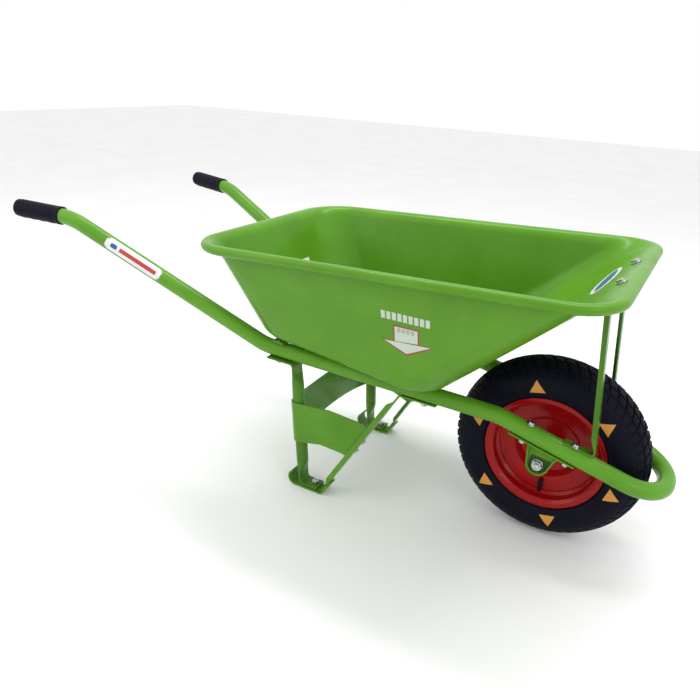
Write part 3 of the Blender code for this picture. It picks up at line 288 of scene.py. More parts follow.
def grip_vinyl():
    material, shader, add, link = nodes_of("grip_vinyl", 0.50, specular=0.10)
    patch = noise_of(add, 60.0, 5.0)
    tone = ramp(add, patch, [(0.3, GRIP_DARK), (0.7, GRIP_PALE)])
    link(tone, shader.inputs["Base Color"])
    rough = ramp(add, patch, [(0.3, 0.38), (0.7, 0.58)])
    link(rough, shader.inputs["Roughness"])
    pores = noise_of(add, 900.0, 3.0)
    bump = add("ShaderNodeBump", [("Height", pores)], in_Strength=0.25, in_Distance=0.0003)
    link(bump.outputs["Normal"], shader.inputs["Normal"])
    return material


def grip_radius(s, underneath):
    """Radius at s from the rear end; underneath is 1 below and 0 on top."""
    if s < GRIP_END_ROUND:
        return GRIP_RADIUS * math.sqrt(max(0.0, 1 - (1 - s / GRIP_END_ROUND) ** 2.6)) * 0.985
    cuff = 0.0011 if s > GRIP_LENGTH - 0.009 else 0.0
    inner = GRIP_RADIUS - 0.0014
    if 0.012 < s < GRIP_LENGTH - 0.013:
        share = (s - 0.012) / (GRIP_LENGTH - 0.025)
        inner += 0.00035 * (1 + math.cos(2 * math.pi * GRIP_RINGS * share))
        inner += 0.0009 * underneath * (1 - math.cos(2 * math.pi * 4 * share)) / 2
    return min(GRIP_RADIUS, inner + cuff)


vinyl = grip_vinyl()
for word, side in SIDES.items():
    start = Vector((HANDLE_END.x, side * HANDLE_END.y, HANDLE_END.z))
    ahead = (Vector((HANDLE_BEND.x, side * HANDLE_BEND.y, HANDLE_BEND.z)) - start).normalized()
    steps = [0.0001, 0.0005, 0.0012, 0.0025, 0.0045, 0.008]
    steps += [0.010 + (GRIP_LENGTH - 0.0105) * k / 150 for k in range(151)]
    rings = []
    up = Vector((0, 0, 1))
    up = (up - ahead * up.dot(ahead)).normalized()
    out = ahead.cross(up)
    for s in steps:
        ring = []
        for k in range(32):
            a = 2 * math.pi * k / 32
            radius = grip_radius(s, max(0.0, -math.cos(a)))
            ring.append(start + ahead * s + (up * math.cos(a) + out * math.sin(a)) * radius)
        rings.append(ring)
    for s in (GRIP_LENGTH, GRIP_LENGTH - 0.004):
        ring = [start + ahead * s + (v - start - ahead * steps[-1]).normalized() * (TUBE + GAP)
                for v in rings[-1 if s == GRIP_LENGTH else -2]]
        rings.append(ring)
    make_piece(f"grip_{word}_sleeve", *skin(rings), vinyl, replaces=["grip_" + word], slot="grip_rubber",
               sharp=60)

# ---------------------------------------------------------------------------------------------
# Handle label. A plain printed vinyl label, wrapped part of the way round the right handle.
LABEL_START, LABEL_END = -0.9020, -0.7780
LABEL_HALF_TURN = math.radians(48)
LABEL_FACING = math.radians(28)


def printed(name, colour, roughness=0.35):
    """Flat ink on vinyl: even colour with a faint print grain."""
    material, shader, add, link = nodes_of(name, roughness, coat=0.3, coat_roughness=0.15)
    grain = noise_of(add, 700.0, 3.0)
    dark = tuple(0.90 * c for c in colour)
    tone = mix(add, ramp(add, grain, [(0.35, 0.0), (0.65, 1.0)]), dark, colour)
    link(tone, shader.inputs["Base Color"])
    scuff = noise_of(add, 35.0, 5.0)
    link(ramp(add, scuff, [(0.4, roughness), (0.8, roughness + 0.2)]),
         shader.inputs["Roughness"])
    return material


def grid_piece(name, rows, ink, **settings):
    """A patch over rows of points that have the same number of points."""
    wide = len(rows[0])
    faces = [(i * wide + j, i * wide + j + 1, (i + 1) * wide + j + 1, (i + 1) * wide + j)
             for i in range(len(rows) - 1) for j in range(wide - 1)]
    return make_piece(name, [p for row in rows for p in row], faces, ink, **settings)


INK_WHITE = printed("ink_white", (0.72, 0.74, 0.74))
INK_RED = printed("ink_red", (0.50, 0.020, 0.018))
INK_BLUE = printed("ink_blue", (0.020, 0.070, 0.300))
INK_PALE = printed("ink_pale", (0.480, 0.560, 0.460))
INK_GREY = printed("ink_grey", (0.300, 0.380, 0.300))


def handle_patch(name, x0, x1, low, high, lift, ink, round_end=0.0):
    """A thin patch on the right handle between two stations and two turns round the tube."""
    a, b = mirrored(HANDLE_BEND), mirrored(SEAT_BEND)
    ahead = (b - a).normalized()
    up = (Vector((0, 0, 1)) - ahead * ahead.z).normalized()
    near = ahead.cross(up)
    rows = []
    for i in range(25):
        share = i / 24
        point = straight(a, b, x0 + (x1 - x0) * share)
        edge = min(share, 1 - share) * abs(x1 - x0)
        squeeze = 1.0
        if round_end and edge < round_end:
            squeeze = math.sqrt(1 - (1 - edge / round_end) ** 2) * 0.45 + 0.55
        middle, half = (low + high) / 2, (high - low) / 2 * squeeze
        row = []
        for j in range(13):
            turn = middle - half + 2 * half * j / 12
            row.append(point + (up * math.sin(turn) + near * math.cos(turn)) * (TUBE + lift))
        rows.append(row)
    grid_piece(name, rows, ink)


low_turn, high_turn = LABEL_FACING - LABEL_HALF_TURN, LABEL_FACING + LABEL_HALF_TURN
handle_patch("handle_label", LABEL_START, LABEL_END, low_turn, high_turn, 0.00015, INK_WHITE, 0.010)
handle_patch("handle_label_band", LABEL_START + 0.032, LABEL_END - 0.010, LABEL_FACING - 0.30,
             LABEL_FACING + 0.22, 0.00025, INK_RED)
handle_patch("handle_label_spot", LABEL_START + 0.012, LABEL_START + 0.026, LABEL_FACING - 0.34,
             LABEL_FACING + 0.26, 0.00025, INK_BLUE, 0.006)

# ---------------------------------------------------------------------------------------------
# Cross straps and tray bolts. Two flat steel bars, sheared and drilled, lie across the tubes
# and carry the tray's floor. Domed zinc bolts come down through tray and strap to plain nuts.
STRAP_UP = rail_up(-0.5160)
STRAP_THICK, TRAY_SHEET = 0.0040, 0.0012
REAR_STRAP_X, FRONT_STRAP_X = -0.5160, -0.2180
TRAY_BOLT_Y = {"rear": 0.0850, "front": 0.0650}
STRAP_GREEN = (0.080, 0.235, 0.010)
# Metric fixings: half the width over corners, the heights of head and nut, the bolt's radius.
M8_HEX, M8_HEAD, M8_NUT, M8_BOLT = 0.0075, 0.0043, 0.0065, 0.004
M6_HEX, M6_HEAD, M6_NUT, M6_BOLT = 0.0058, 0.0042, 0.0060, 0.003
LONG_TAIL, SHORT_TAIL, WASHER = 0.0095, 0.0092, 0.0012


def zinc_plate(name, tone=(0.62, 0.64, 0.66), rough=0.24):
    """Bright zinc: clean metal with faint crystals and a few dull patches."""
    material, shader, add, link = nodes_of(name, rough, metallic=1.0)
    patch = noise_of(add, 260.0, 4.0)
    dull = tuple(0.62 * c for c in tone)
    link(mix(add, ramp(add, patch, [(0.34, 0.0), (0.66, 1.0)]), dull, tone),
         shader.inputs["Base Color"])
    link(ramp(add, patch, [(0.3, rough * 0.7), (0.7, rough * 1.6)]),
         shader.inputs["Roughness"])
    return material


def eased(name, node, material, slot, ease=0.0006, body="barrow"):
    """The part's own surface with its flat faces merged and its edges broken."""
    work = bmesh.new()
    work.from_mesh(frame["nodes"][node].data)
    bmesh.ops.remove_doubles(work, verts=work.verts, dist=1e-6)
    bmesh.ops.dissolve_limit(work, angle_limit=math.radians(1.5), verts=work.verts, edges=work.edges)
    verts = [v.co.copy() for v in work.verts]
    for i, vertex in enumerate(work.verts):
        vertex.index = i
    faces = [tuple(v.index for v in f.verts) for f in work.faces]
    work.free()
    return make_piece(name, verts, faces, material, body, [node], slot, Vector((0, 0, 0)), 35, ease)


def side_of(axis):
    """Two unit vectors square to an axis."""
    axis = axis.normalized()
    first = Vector((1, 0, 0)) if abs(axis.x) < 0.9 else Vector((0, 0, 1))
    first = (first - axis * first.dot(axis)).normalized()
    return first, axis.cross(first)


def turned(centre, axis, profile, sides=24):
    """Points and faces of a solid turned about an axis; profile is (along, radius)."""
    axis = axis.normalized()
    first, second = side_of(axis)
    spokes = [first * math.cos(2 * math.pi * k / sides) + second * math.sin(2 * math.pi * k / sides)
              for k in range(sides)]
    return skin([[centre + axis * s + spoke * r for spoke in spokes] for s, r in profile])


def hexed(centre, axis, radius, height, both=False):
    """A hexagon with its corners turned off at the top, and below too if both."""
    axis = axis.normalized()
    first, second = side_of(axis)

    def ring(along, scale, round_off):
        points = []
        for k in range(36):
            a = 2 * math.pi * k / 36
            flat = math.cos(math.pi / 6) / math.cos((a % (math.pi / 3)) - math.pi / 6)
            reach = radius * scale * min(flat, round_off)
            points.append(centre + axis * along + (first * math.cos(a) + second * math.sin(a)) * reach)
        return points

    low = [ring(0, 1, 0.90), ring(0.10 * height, 1, 1.0)] if both else [ring(0, 1, 1.0)]
    return skin(low + [ring(0.86 * height, 1, 1.0), ring(height, 1, 0.90), ring(height * 1.004, 0.72, 0.9)])


def threaded(centre, axis, start, stop, radius, pitch=0.00125):
    """A rod with a run of thread."""
    root = radius * 0.90
    profile, s = [(start, root)], start
    while s < stop - pitch:
        profile += [(s + 0.15 * pitch, root), (s + 0.5 * pitch, radius), (s + 0.65 * pitch, radius)]
        s += pitch
    return turned(centre, axis, profile + [(stop - 0.0003, radius * 0.88), (stop, radius * 0.70)], 16)


def joined(*solids):
    """Several closed solids as one set of points and faces."""
    verts, faces = [], []
    for points, around in solids:
        faces += [tuple(i + len(verts) for i in face) for face in around]
        verts += points
    return verts, faces


def flat_washer(centre, axis, outer, inner, thick=WASHER):
    profile = [(0, outer - 0.0003), (0.0003, outer), (thick - 0.0003, outer), (thick, outer - 0.0003),
               (thick, inner)]
    return turned(centre, axis, profile, 28)


strap_paint = enamel("strap_enamel", STRAP_GREEN)
zinc = zinc_plate("zinc_plate")


def zinc_fixing(name, node, *solids):
    """A bright bolt or nut made of closed solids, in place of the part's plain one."""
    make_piece(name, *joined(*solids), zinc, replaces=[node], slot="zinc", sharp=30)


for place in ("rear", "front"):
    eased("strap_" + place, "tray_strap_" + place, strap_paint, "strap_paint")
for place, x in (("rear", REAR_STRAP_X), ("front", FRONT_STRAP_X)):
    for word, side in SIDES.items():
        level = beside_rail(x, TUBE + STRAP_THICK + 2 * GAP + TRAY_SHEET + GAP)
        seat = Vector((level.x, side * TRAY_BOLT_Y[place], level.y))
        dome = [(0, 0.0093), (0.0006, 0.0095)]
        dome += [(0.0042 * math.sin(a), 0.0095 * math.cos(a)) for a in (0.25, 0.5, 0.8, 1.1, 1.35, 1.5)]
        under = TRAY_SHEET + STRAP_THICK + 3 * GAP
        zinc_fixing(f"tray_fixing_{place}_{word}", f"tray_bolt_{place}_{word}",
                    turned(seat, STRAP_UP, dome),
                    threaded(seat, -STRAP_UP, 0.0, under + LONG_TAIL, M8_BOLT),
                    hexed(seat - STRAP_UP * under, -STRAP_UP, M8_HEX, M8_NUT, True))

# ---------------------------------------------------------------------------------------------
# Tray. Drawn in one hit from 1.2 mm sheet: a deep well with a sloping nose, a wide front lip
# and a rim rolled round a wire. Sprayed green gloss, with faint drawing marks at the corners.
RIM_REAR_X, RIM_FRONT_X, RIM_HALF = -0.6758, 0.0962, 0.2463
RIM_REAR_Z, RIM_SLOPE = 0.5085, 0.0441
TOP_REAR_X, TOP_FRONT_X, TOP_HALF = -0.6562, 0.0480, 0.2267
BEAD = 0.0085
WALL_DROP, LIP_DROP = 0.0040, 0.0200
FLOOR_FILLET = 0.0320
# Radii of the rear and front corners, and the steps round a corner and along a straight.
FLOOR_CORNERS, TOP_CORNERS, RIM_CORNERS = (0.0950, 0.0800), (0.0680, 0.0580), (0.0870, 0.0720)
FLOOR_REAR_X, FLOOR_FRONT_X, FLOOR_HALF = -0.5880, -0.1880, 0.1790
CORNER_STEPS, STRAIGHT_STEPS = 16, 12
FILLET_RINGS, WALL_RINGS, LIP_RINGS = 9, 7, 9
TRAY_GREEN = (0.090, 0.258, 0.010)


def tray_line(rear, front, half, rear_corner, front_corner):
    """A rectangle with round corners as (point, outward), with extra points on its straights."""
    corners = [(rear + rear_corner, rear_corner - half, rear_corner, 180),
               (front - front_corner, front_corner - half, front_corner, 270),
               (front - front_corner, half - front_corner, front_corner, 0),
               (rear + rear_corner, half - rear_corner, rear_corner, 90)]
    arcs = []
    for cx, cy, radius, first in corners:
        arc = []
        for k in range(CORNER_STEPS + 1):
            a = math.radians(first + 90 * k / CORNER_STEPS)
            out = Vector((math.cos(a), math.sin(a), 0))
            arc.append((Vector((cx, cy, 0)) + out * radius, out))
        arcs.append(arc)
    line = []
    for arc, following in zip(arcs, arcs[1:] + arcs[:1]):
        line += arc
        (a, out), (b, _) = arc[-1], following[0]
        line += [(a.lerp(b, k / STRAIGHT_STEPS), out) for k in range(1, STRAIGHT_STEPS)]
    return line


def tray_rings():
    """Rings of the outer skin from the floor to the lip, and the line of the bead."""
    low_line = tray_line(FLOOR_REAR_X, FLOOR_FRONT_X, FLOOR_HALF, *FLOOR_CORNERS)
    top_line = tray_line(TOP_REAR_X, TOP_FRONT_X, TOP_HALF, *TOP_CORNERS)
    rim_line = tray_line(RIM_REAR_X, RIM_FRONT_X, RIM_HALF, *RIM_CORNERS)
    lift = (TUBE + STRAP_THICK + 2 * GAP) / STRAP_UP.z
    slope = (WHEEL_BEND.z - SEAT_BEND.z) / (WHEEL_BEND.x - SEAT_BEND.x)
    rings, beads = [[] for _ in range(FILLET_RINGS + WALL_RINGS + LIP_RINGS)], []
    for (low, out), (high, _), (edge, rim_out) in zip(low_line, top_line, rim_line):
        low = Vector((low.x, low.y, straight(SEAT_BEND, WHEEL_BEND, low.x).z + lift))
        share = max(0.0, (high.x - TOP_REAR_X) / (TOP_FRONT_X - TOP_REAR_X))
        high = Vector((high.x, high.y, RIM_REAR_Z + RIM_SLOPE * (high.x - RIM_REAR_X)
                       - WALL_DROP - (LIP_DROP - WALL_DROP) * share ** 6))
        edge = Vector((edge.x, edge.y, RIM_REAR_Z + RIM_SLOPE * (edge.x - RIM_REAR_X)))
        wall = (high - low).normalized()
        inward = Vector((-out.x, -out.y, -out.x * slope)).normalized()
        inside = wall.angle(inward)
        cut = FLOOR_FILLET / math.tan(inside / 2)
        centre = low + (wall + inward).normalized() * (FLOOR_FILLET / math.sin(inside / 2))
        start, end = low + inward * cut - centre, low + wall * cut - centre
        for k in range(FILLET_RINGS):
            a, b = math.sin((1 - k / 8) * (math.pi - inside)), math.sin(k / 8 * (math.pi - inside))
            rings[k].append(centre + (start * a + end * b) / math.sin(math.pi - inside))
        lip = edge + rim_out * (-0.55 * BEAD)
        lip.z = edge.z + BEAD - TRAY_SHEET
        knee, begin = high + wall * (0.75 * (lip.z - high.z) / wall.z), high - wall * 0.006
        for k in range(WALL_RINGS):
            rings[FILLET_RINGS + k].append((low + wall * cut).lerp(begin, (k + 1) / 8))
        for k in range(LIP_RINGS):
            t = k / 8
            curve = begin * (1 - t) ** 2 + knee * (2 * t * (1 - t)) + lip * t ** 2
            rings[FILLET_RINGS + WALL_RINGS + k].append(curve)
        beads.append((edge, rim_out))
    return rings, beads


def pressed_green(name, colour):
    """Gloss enamel over drawn sheet, with soft upright drawing marks under the paint."""
    material = enamel(name, colour, peel=0.12, shade=0.10, gloss=0.30)
    tree = material.node_tree
    bump = next(node for node in tree.nodes if node.type == "BUMP")
    place = tree.nodes.new("ShaderNodeTexCoord")
    sized = tree.nodes.new("ShaderNodeMapping")
    sized.inputs["Scale"].default_value = (1.0, 1.0, 0.10)
    tree.links.new(place.outputs["Object"], sized.inputs["Vector"])
    marks = tree.nodes.new("ShaderNodeTexNoise")
    marks.inputs["Scale"].default_value = 26.0
    marks.inputs["Detail"].default_value = 2.0
    tree.links.new(sized.outputs["Vector"], marks.inputs["Vector"])
    second = tree.nodes.new("ShaderNodeBump")
    second.inputs["Strength"].default_value = 0.22
    second.inputs["Distance"].default_value = 0.0040
    tree.links.new(marks.outputs["Fac"], second.inputs["Height"])
    tree.links.new(second.outputs["Normal"], bump.inputs["Normal"])
    return material


outside, beads = tray_rings()
count = len(beads)
normals = []
for i, ring in enumerate(outside):
    row = []
    for k in range(count):
        rise = outside[min(i + 1, len(outside) - 1)][k] - outside[max(i - 1, 0)][k]
        row.append(rise.cross(ring[(k + 1) % count] - ring[k - 1]).normalized())
    normals.append(row)
turn_in = -1 if normals[0][0].z < 0 else 1
inside_rings = [[p + n * (turn_in * TRAY_SHEET) for p, n in zip(ring, row)]
                for ring, row in zip(outside, normals)]
round_bead = []
for degrees in range(165, 441, 18):
    a = math.radians(degrees)
    round_bead.append([edge + out * (BEAD * math.cos(a)) + Vector((0, 0, BEAD * math.sin(a)))
                       for edge, out in beads])
tray_verts, tray_faces = skin(outside + round_bead + inside_rings[::-1])
make_piece("tray_drawn", tray_verts, tray_faces, pressed_green("tray_enamel", TRAY_GREEN),
           replaces=["tray"], slot="tray_paint", sharp=50)

# ---------------------------------------------------------------------------------------------
# Tray stickers. Printed vinyl with no wording: a block arrow on the near wall that points
# down at the well, an oval on the front lip, and a small plain label inside the rear wall.
INK_DEEP_RED = printed("ink_deep_red", (0.260, 0.030, 0.018))
tray_surface = BVHTree.FromPolygons(tray_verts, tray_faces)
ARROW_TOP, ARROW_NECK, ARROW_POINT = 0.4380, 0.4080, 0.3810


def laid_on(spot, direction, lift):
    """Where a ray meets the tray, raised by lift."""
    hit, normal, _, _ = tray_surface.ray_cast(spot, direction)
    normal = normal if normal.dot(direction) < 0 else -normal
    return hit + normal * lift


def sticker(name, corners, direction, lift, ink, steps=10):
    """A four-cornered patch laid on the tray; corners are looked at along direction."""
    a, b, c, d = corners
    rows = []
    for i in range(steps + 1):
        left, right = a.lerp(d, i / steps), b.lerp(c, i / steps)
        rows.append([laid_on(left.lerp(right, j / steps), direction, lift) for j in range(steps + 1)])
    grid_piece(name, rows, ink)


def oval_sticker(name, middle, across, along_it, direction, lift, ink):
    verts = [laid_on(middle, direction, lift)]
    for ring in range(1, 7):
        for k in range(40):
            a = 2 * math.pi * k / 40
            spot = middle + across * (math.cos(a) * ring / 6) + along_it * (math.sin(a) * ring / 6)
            verts.append(laid_on(spot, direction, lift))
    faces = [(0, 1 + k, 1 + (k + 1) % 40) for k in range(40)]
    for ring in range(5):
        low, high = 1 + ring * 40, 41 + ring * 40
        faces += [(low + k, high + k, high + (k + 1) % 40, low + (k + 1) % 40) for k in range(40)]
    make_piece(name, verts, faces, ink)


def from_side(x, z):
    return Vector((x, -0.5, z))


left_in, down = Vector((0, 1, 0)), Vector((0, 0, -1))
for name, grow, lift, ink in (("edge", 0.0, 0.00016, INK_DEEP_RED), ("face", 0.0030, 0.00030, INK_PALE)):
    shaft = [from_side(-0.2510 + grow, ARROW_NECK - 0.002), from_side(-0.2020 - grow, ARROW_NECK + 0.002),
             from_side(-0.2020 - grow, ARROW_TOP - grow), from_side(-0.2510 + grow, ARROW_TOP - grow)]
    sticker("arrow_shaft_" + name, shaft, left_in, lift, ink)
    point = from_side(-0.2260, ARROW_POINT + 1.5 * grow)
    head = [point, point, from_side(-0.1740 - 2.2 * grow, ARROW_NECK + 0.003 - 0.5 * grow),
            from_side(-0.2760 + 2.2 * grow, ARROW_NECK - 0.003 - 0.5 * grow)]
    sticker("arrow_head_" + name, head, left_in, lift + 0.00004, ink)
for row, (z, x0, x1, tall, bars, lift, ink) in enumerate((
        (0.4610, -0.2730, -0.1800, 0.0150, 9, 0.00020, INK_PALE),
        (0.4330, -0.2430, -0.2090, 0.0080, 4, 0.00042, INK_GREY))):
    for k in range(bars):
        a = x0 + (x1 - x0) * k / bars
        b = a + 0.74 * (x1 - x0) / bars
        bar = [from_side(a, z - tall), from_side(b, z - tall + 0.0004), from_side(b, z), from_side(a, z)]
        sticker(f"arrow_bar_{row}_{k}", bar, left_in, lift, ink, 4)
oval_spot = Vector((0.0360, 0.0380, 0.60))
for name, across, along_it, lift, ink in (
        ("lip_oval", (0.0160, -0.0060, 0), (0.0060, 0.0720, 0), 0.00016, INK_WHITE),
        ("lip_oval_middle", (0.0095, -0.0040, 0), (0.0050, 0.0600, 0), 0.00030, INK_BLUE)):
    oval_sticker(name, oval_spot, Vector(across), Vector(along_it), down, lift, ink)
label = [Vector((-0.6, y, z)) for y, z in ((0.030, 0.408), (0.092, 0.408), (0.092, 0.424), (0.030, 0.424))]
sticker("rear_label", label, Vector((-1, 0, 0)), 0.00018, INK_WHITE, 4)

# ---------------------------------------------------------------------------------------------
# Legs. Each is steel tube pinched flat at both ends: the top tab lies under the frame tube and
# the foot is bolted through stay and shoe. A pressed sheet brace wraps round behind both legs.
LEG_GREEN = (0.084, 0.242, 0.014)
SHOE_Y, SHOE_THICK, STAY_THICK = 0.1500, 0.0040, 0.0030
LEG_RADIUS, LEG_TAB_HALF, LEG_TAB = 0.0125, 0.0165, 0.0045
LEG_FOOT_X, LEG_TOP_X, LEG_TOE_X, LEG_TAIL_X = -0.4630, -0.4790, -0.4215, -0.5330
STAY_FOOT = Vector((-0.4120, SHOE_THICK + GAP + STAY_THICK / 2))
STAY_TOP_X, STAY_FLANGE, STAY_WIDTH = -0.2635, 0.0100, 0.0200
BRACE_SHEET, BRACE_BOLTS_Z, BRACE_BOLT_INSET = 0.0025, (0.1400, 0.1165), 0.0030
# Heights of the brace's edges at the stay, on the arm and behind the leg, and the rise between.
BRACE_TOP, BRACE_LOW = (0.1740, 0.1980, 0.2010, 0.0080), (0.1000, 0.1150, 0.1110, 0.0170)
SHOE_BOLT_X = -0.4330
SHOE_CURL_X, SHOE_CURL_RADIUS, SHOE_TIP_Z, SHOE_HALF = -0.4750, 0.0160, 0.0270, 0.0165
LEG_TAB_Z = SHOE_THICK + STAY_THICK + 2 * GAP + LEG_TAB / 2
LEG_CROWN = beside_rail(LEG_TOP_X, -(TUBE + GAP + LEG_TAB / 2))


def rounded(points, radius, steps=6):
    flat = [Vector((p.x, 0, p.y)) for p in points]
    return [Vector((p.x, p.z)) for p in fillet(flat, [radius] * (len(points) - 2), steps)]


def leg_axis(z):
    """Middle of the left leg's tube at a height."""
    share = (z - LEG_TAB_Z) / (LEG_CROWN.y - LEG_TAB_Z)
    x = LEG_FOOT_X + (LEG_CROWN.x - LEG_FOOT_X) * share
    return Vector((x, SHOE_Y + (rail_y(LEG_TOP_X) - SHOE_Y) * share, z))


def leg_sections():
    """(point, half width, half thickness, squareness) down the leg's length."""
    def shaft(z):
        return Vector((leg_axis(z).x, z))

    tail = beside_rail(LEG_TAIL_X, -(TUBE + GAP + LEG_TAB / 2))
    bend, foot, crown = 0.008, LEG_TAB_Z, LEG_CROWN.y
    low = rounded([Vector((LEG_TOE_X, foot)), shaft(foot), shaft(foot + 2.2 * bend)], bend)
    high = rounded([shaft(crown - 2.2 * bend), LEG_CROWN, tail], bend)

    def shape(share):
        ease = share * share * (3 - 2 * share)
        wide = LEG_TAB_HALF + (LEG_RADIUS - LEG_TAB_HALF) * ease
        return wide, LEG_TAB / 2 + (LEG_RADIUS - LEG_TAB / 2) * ease, 0.30 + 0.70 * ease

    sections = [(p, *shape(0)) for p in low]
    for k in range(1, 11):
        sections.append((shaft(foot + (2.2 + 4.8 * k / 10) * bend), *shape(k / 10)))
    for k in range(10, 0, -1):
        sections.append((shaft(crown - (2.2 + 4.3 * k / 10) * bend), *shape(k / 10)))
    return sections + [(p, *shape(0)) for p in high]


def stay_axis():
    top = beside_rail(STAY_TOP_X, -(TUBE + GAP + STAY_THICK / 2))
    return (top - STAY_FOOT).normalized()


def on_stay(z):
    axis = stay_axis()
    return STAY_FOOT + axis * ((z - STAY_FOOT.y) / axis.y)


def stay_lane(x):
    share = (x - STAY_FOOT.x) / (STAY_TOP_X - STAY_FOOT.x)
    return SHOE_Y + (rail_y(STAY_TOP_X) - SHOE_Y) * share


def shifted(path, distance):
    """An open flat path moved sideways, to its left, with mitred corners."""
    out = []
    for i, point in enumerate(path):
        u = (point - path[i - 1]).normalized() if i else (path[1] - point).normalized()
        v = (path[i + 1] - point).normalized() if i + 1 < len(path) else u
        left = Vector((-u.y - v.y, u.x + v.x)).normalized()
        out.append(point + left * (distance / left.dot(Vector((-u.y, u.x)))))
    return out


def bent_bar(path, thick, half, lane_y, side, ease=0.0006):
    """A flat bar with broken edges, bent along an (x, z) path."""
    corners = ((-1, -1), (1, -1), (1, 1), (-1, 1))
    rings = []
    rows = {}
    for a in (-thick / 2, -thick / 2 + ease, thick / 2 - ease, thick / 2):
        rows[a] = shifted(path, a)
    for i in range(len(path)):
        ring = []
        for sy, st in corners:
            near, inset = sy * half, sy * (half - ease)
            full, drawn = st * thick / 2, st * (thick / 2 - ease)
            pair = [(near, drawn), (inset, full)] if sy == st else [(inset, full), (near, drawn)]
            ring += [Vector((rows[t][i].x, side * (lane_y + y), rows[t][i].y)) for y, t in pair]
        rings.append(ring)
    return skin(rings)


def brace_edge(z_end, z_arm, z_leg, arch):
    """One long edge of the brace as (plan point, height), from the left stay to the right."""
    axis, half = stay_axis(), BRACE_SHEET / 2
    bar = on_stay(z_end)
    end = Vector((bar.x - (STAY_THICK / 2 + GAP + half) / axis.y,
                  stay_lane(bar.x) + STAY_WIDTH / 2 - STAY_THICK - GAP - half))
    lean_in = (rail_y(STAY_TOP_X) - SHOE_Y) / (STAY_TOP_X - STAY_FOOT.x)
    past_web = (STAY_FLANGE + BRACE_SHEET) / axis.y
    clear = end - Vector((past_web, past_web * lean_in * axis.x ** 2))
    tip = end - Vector((0, STAY_WIDTH - STAY_THICK - 4 * GAP - half))
    wrap = LEG_RADIUS + 2 * GAP + half
    leg = Vector(leg_axis(z_leg).xy)
    arm = clear - (leg + Vector((0, wrap)))
    first = math.atan2(arm.x, -arm.y)
    bend = [leg + Vector((math.cos(a), math.sin(a))) * wrap
            for a in (first + (math.pi - first) * k / 16 for k in range(17))]
    points = [(tip, z_end), (end, z_end), (clear, (2 * z_end + z_arm) / 3)]
    for k in range(1, 8):
        share = k / 8
        height = z_arm + ((2 * z_end + z_arm) / 3 - z_arm) * max(0.0, 1 - 2 * share)
        height += (z_leg - z_arm) * max(0.0, 2 * share - 1)
        points.append((clear.lerp(bend[0], share), height))
    points += [(spot, z_leg) for spot in bend]
    for share in (0.9, 0.8, 0.7, 0.6, 0.5, 0.4, 0.3, 0.2, 0.1, 0.0):
        points.append((Vector((bend[-1].x, bend[-1].y * share)), z_leg + arch * (1 - share ** 2)))
    return points + [(Vector((p.x, -p.y)), z) for p, z in points[-2::-1]]


def pressed_brace():
    """The brace sheet, with two shallow ribs pressed along each arm."""
    top, low = brace_edge(*BRACE_TOP), brace_edge(*BRACE_LOW)
    sides = {}
    for distance in (BRACE_SHEET / 2, -BRACE_SHEET / 2):
        high_line = shifted([p for p, _ in top], distance)
        low_line = shifted([p for p, _ in low], distance)
        grid = []
        for i, (a, b) in enumerate(zip(high_line, low_line)):
            arm = min(i, len(top) - 1 - i)
            rib = max(0.0, 1 - abs(arm - 6.5) / 5.0) ** 0.5
            row = []
            for j in range(25):
                share = j / 24
                spot = Vector((*a.lerp(b, share), top[i][1] + (low[i][1] - top[i][1]) * share))
                ridge = sum(math.exp(-((share - centre) / 0.035) ** 2) for centre in (0.24, 0.74))
                spot.y += (1 if i < len(top) / 2 else -1) * 0.0011 * ridge * rib
                row.append(spot)
            grid.append(row)
        sides[distance > 0] = grid
    return skin([outer + inner[::-1] for outer, inner in zip(sides[True], sides[False])])


leg_paint = enamel("leg_enamel", LEG_GREEN)
# The leg tubes take the leg green darkened to 0.72 of itself. This is painted shade, so they read darker
# than the brace, stays and shoes.
leg_tube_painted_shade = enamel("leg_tube_painted_shade_enamel", tuple(0.72 * c for c in LEG_GREEN))
make_piece("brace_pressed", *pressed_brace(), leg_paint, replaces=["leg_brace"], slot="leg_paint", sharp=40)
shoe_low = Vector((SHOE_CURL_X, SHOE_THICK / 2 + SHOE_CURL_RADIUS))
shoe_curl = [shoe_low + Vector((math.cos(a), math.sin(a))) * SHOE_CURL_RADIUS
             for a in (math.radians(120 + 7.5 * k) for k in range(21))]
stay_line = STAY_FOOT + Vector((stay_axis().y, -stay_axis().x)) * (STAY_THICK / 2 + GAP + SHOE_THICK / 2)
shoe_toe = stay_line + stay_axis() * ((SHOE_THICK / 2 - stay_line.y) / stay_axis().y)
shoe_tip = stay_line + stay_axis() * ((SHOE_TIP_Z - stay_line.y) / stay_axis().y)
shoe_path = shoe_curl + rounded([Vector((SHOE_BOLT_X, SHOE_THICK / 2)), shoe_toe, shoe_tip], 0.009, 8)
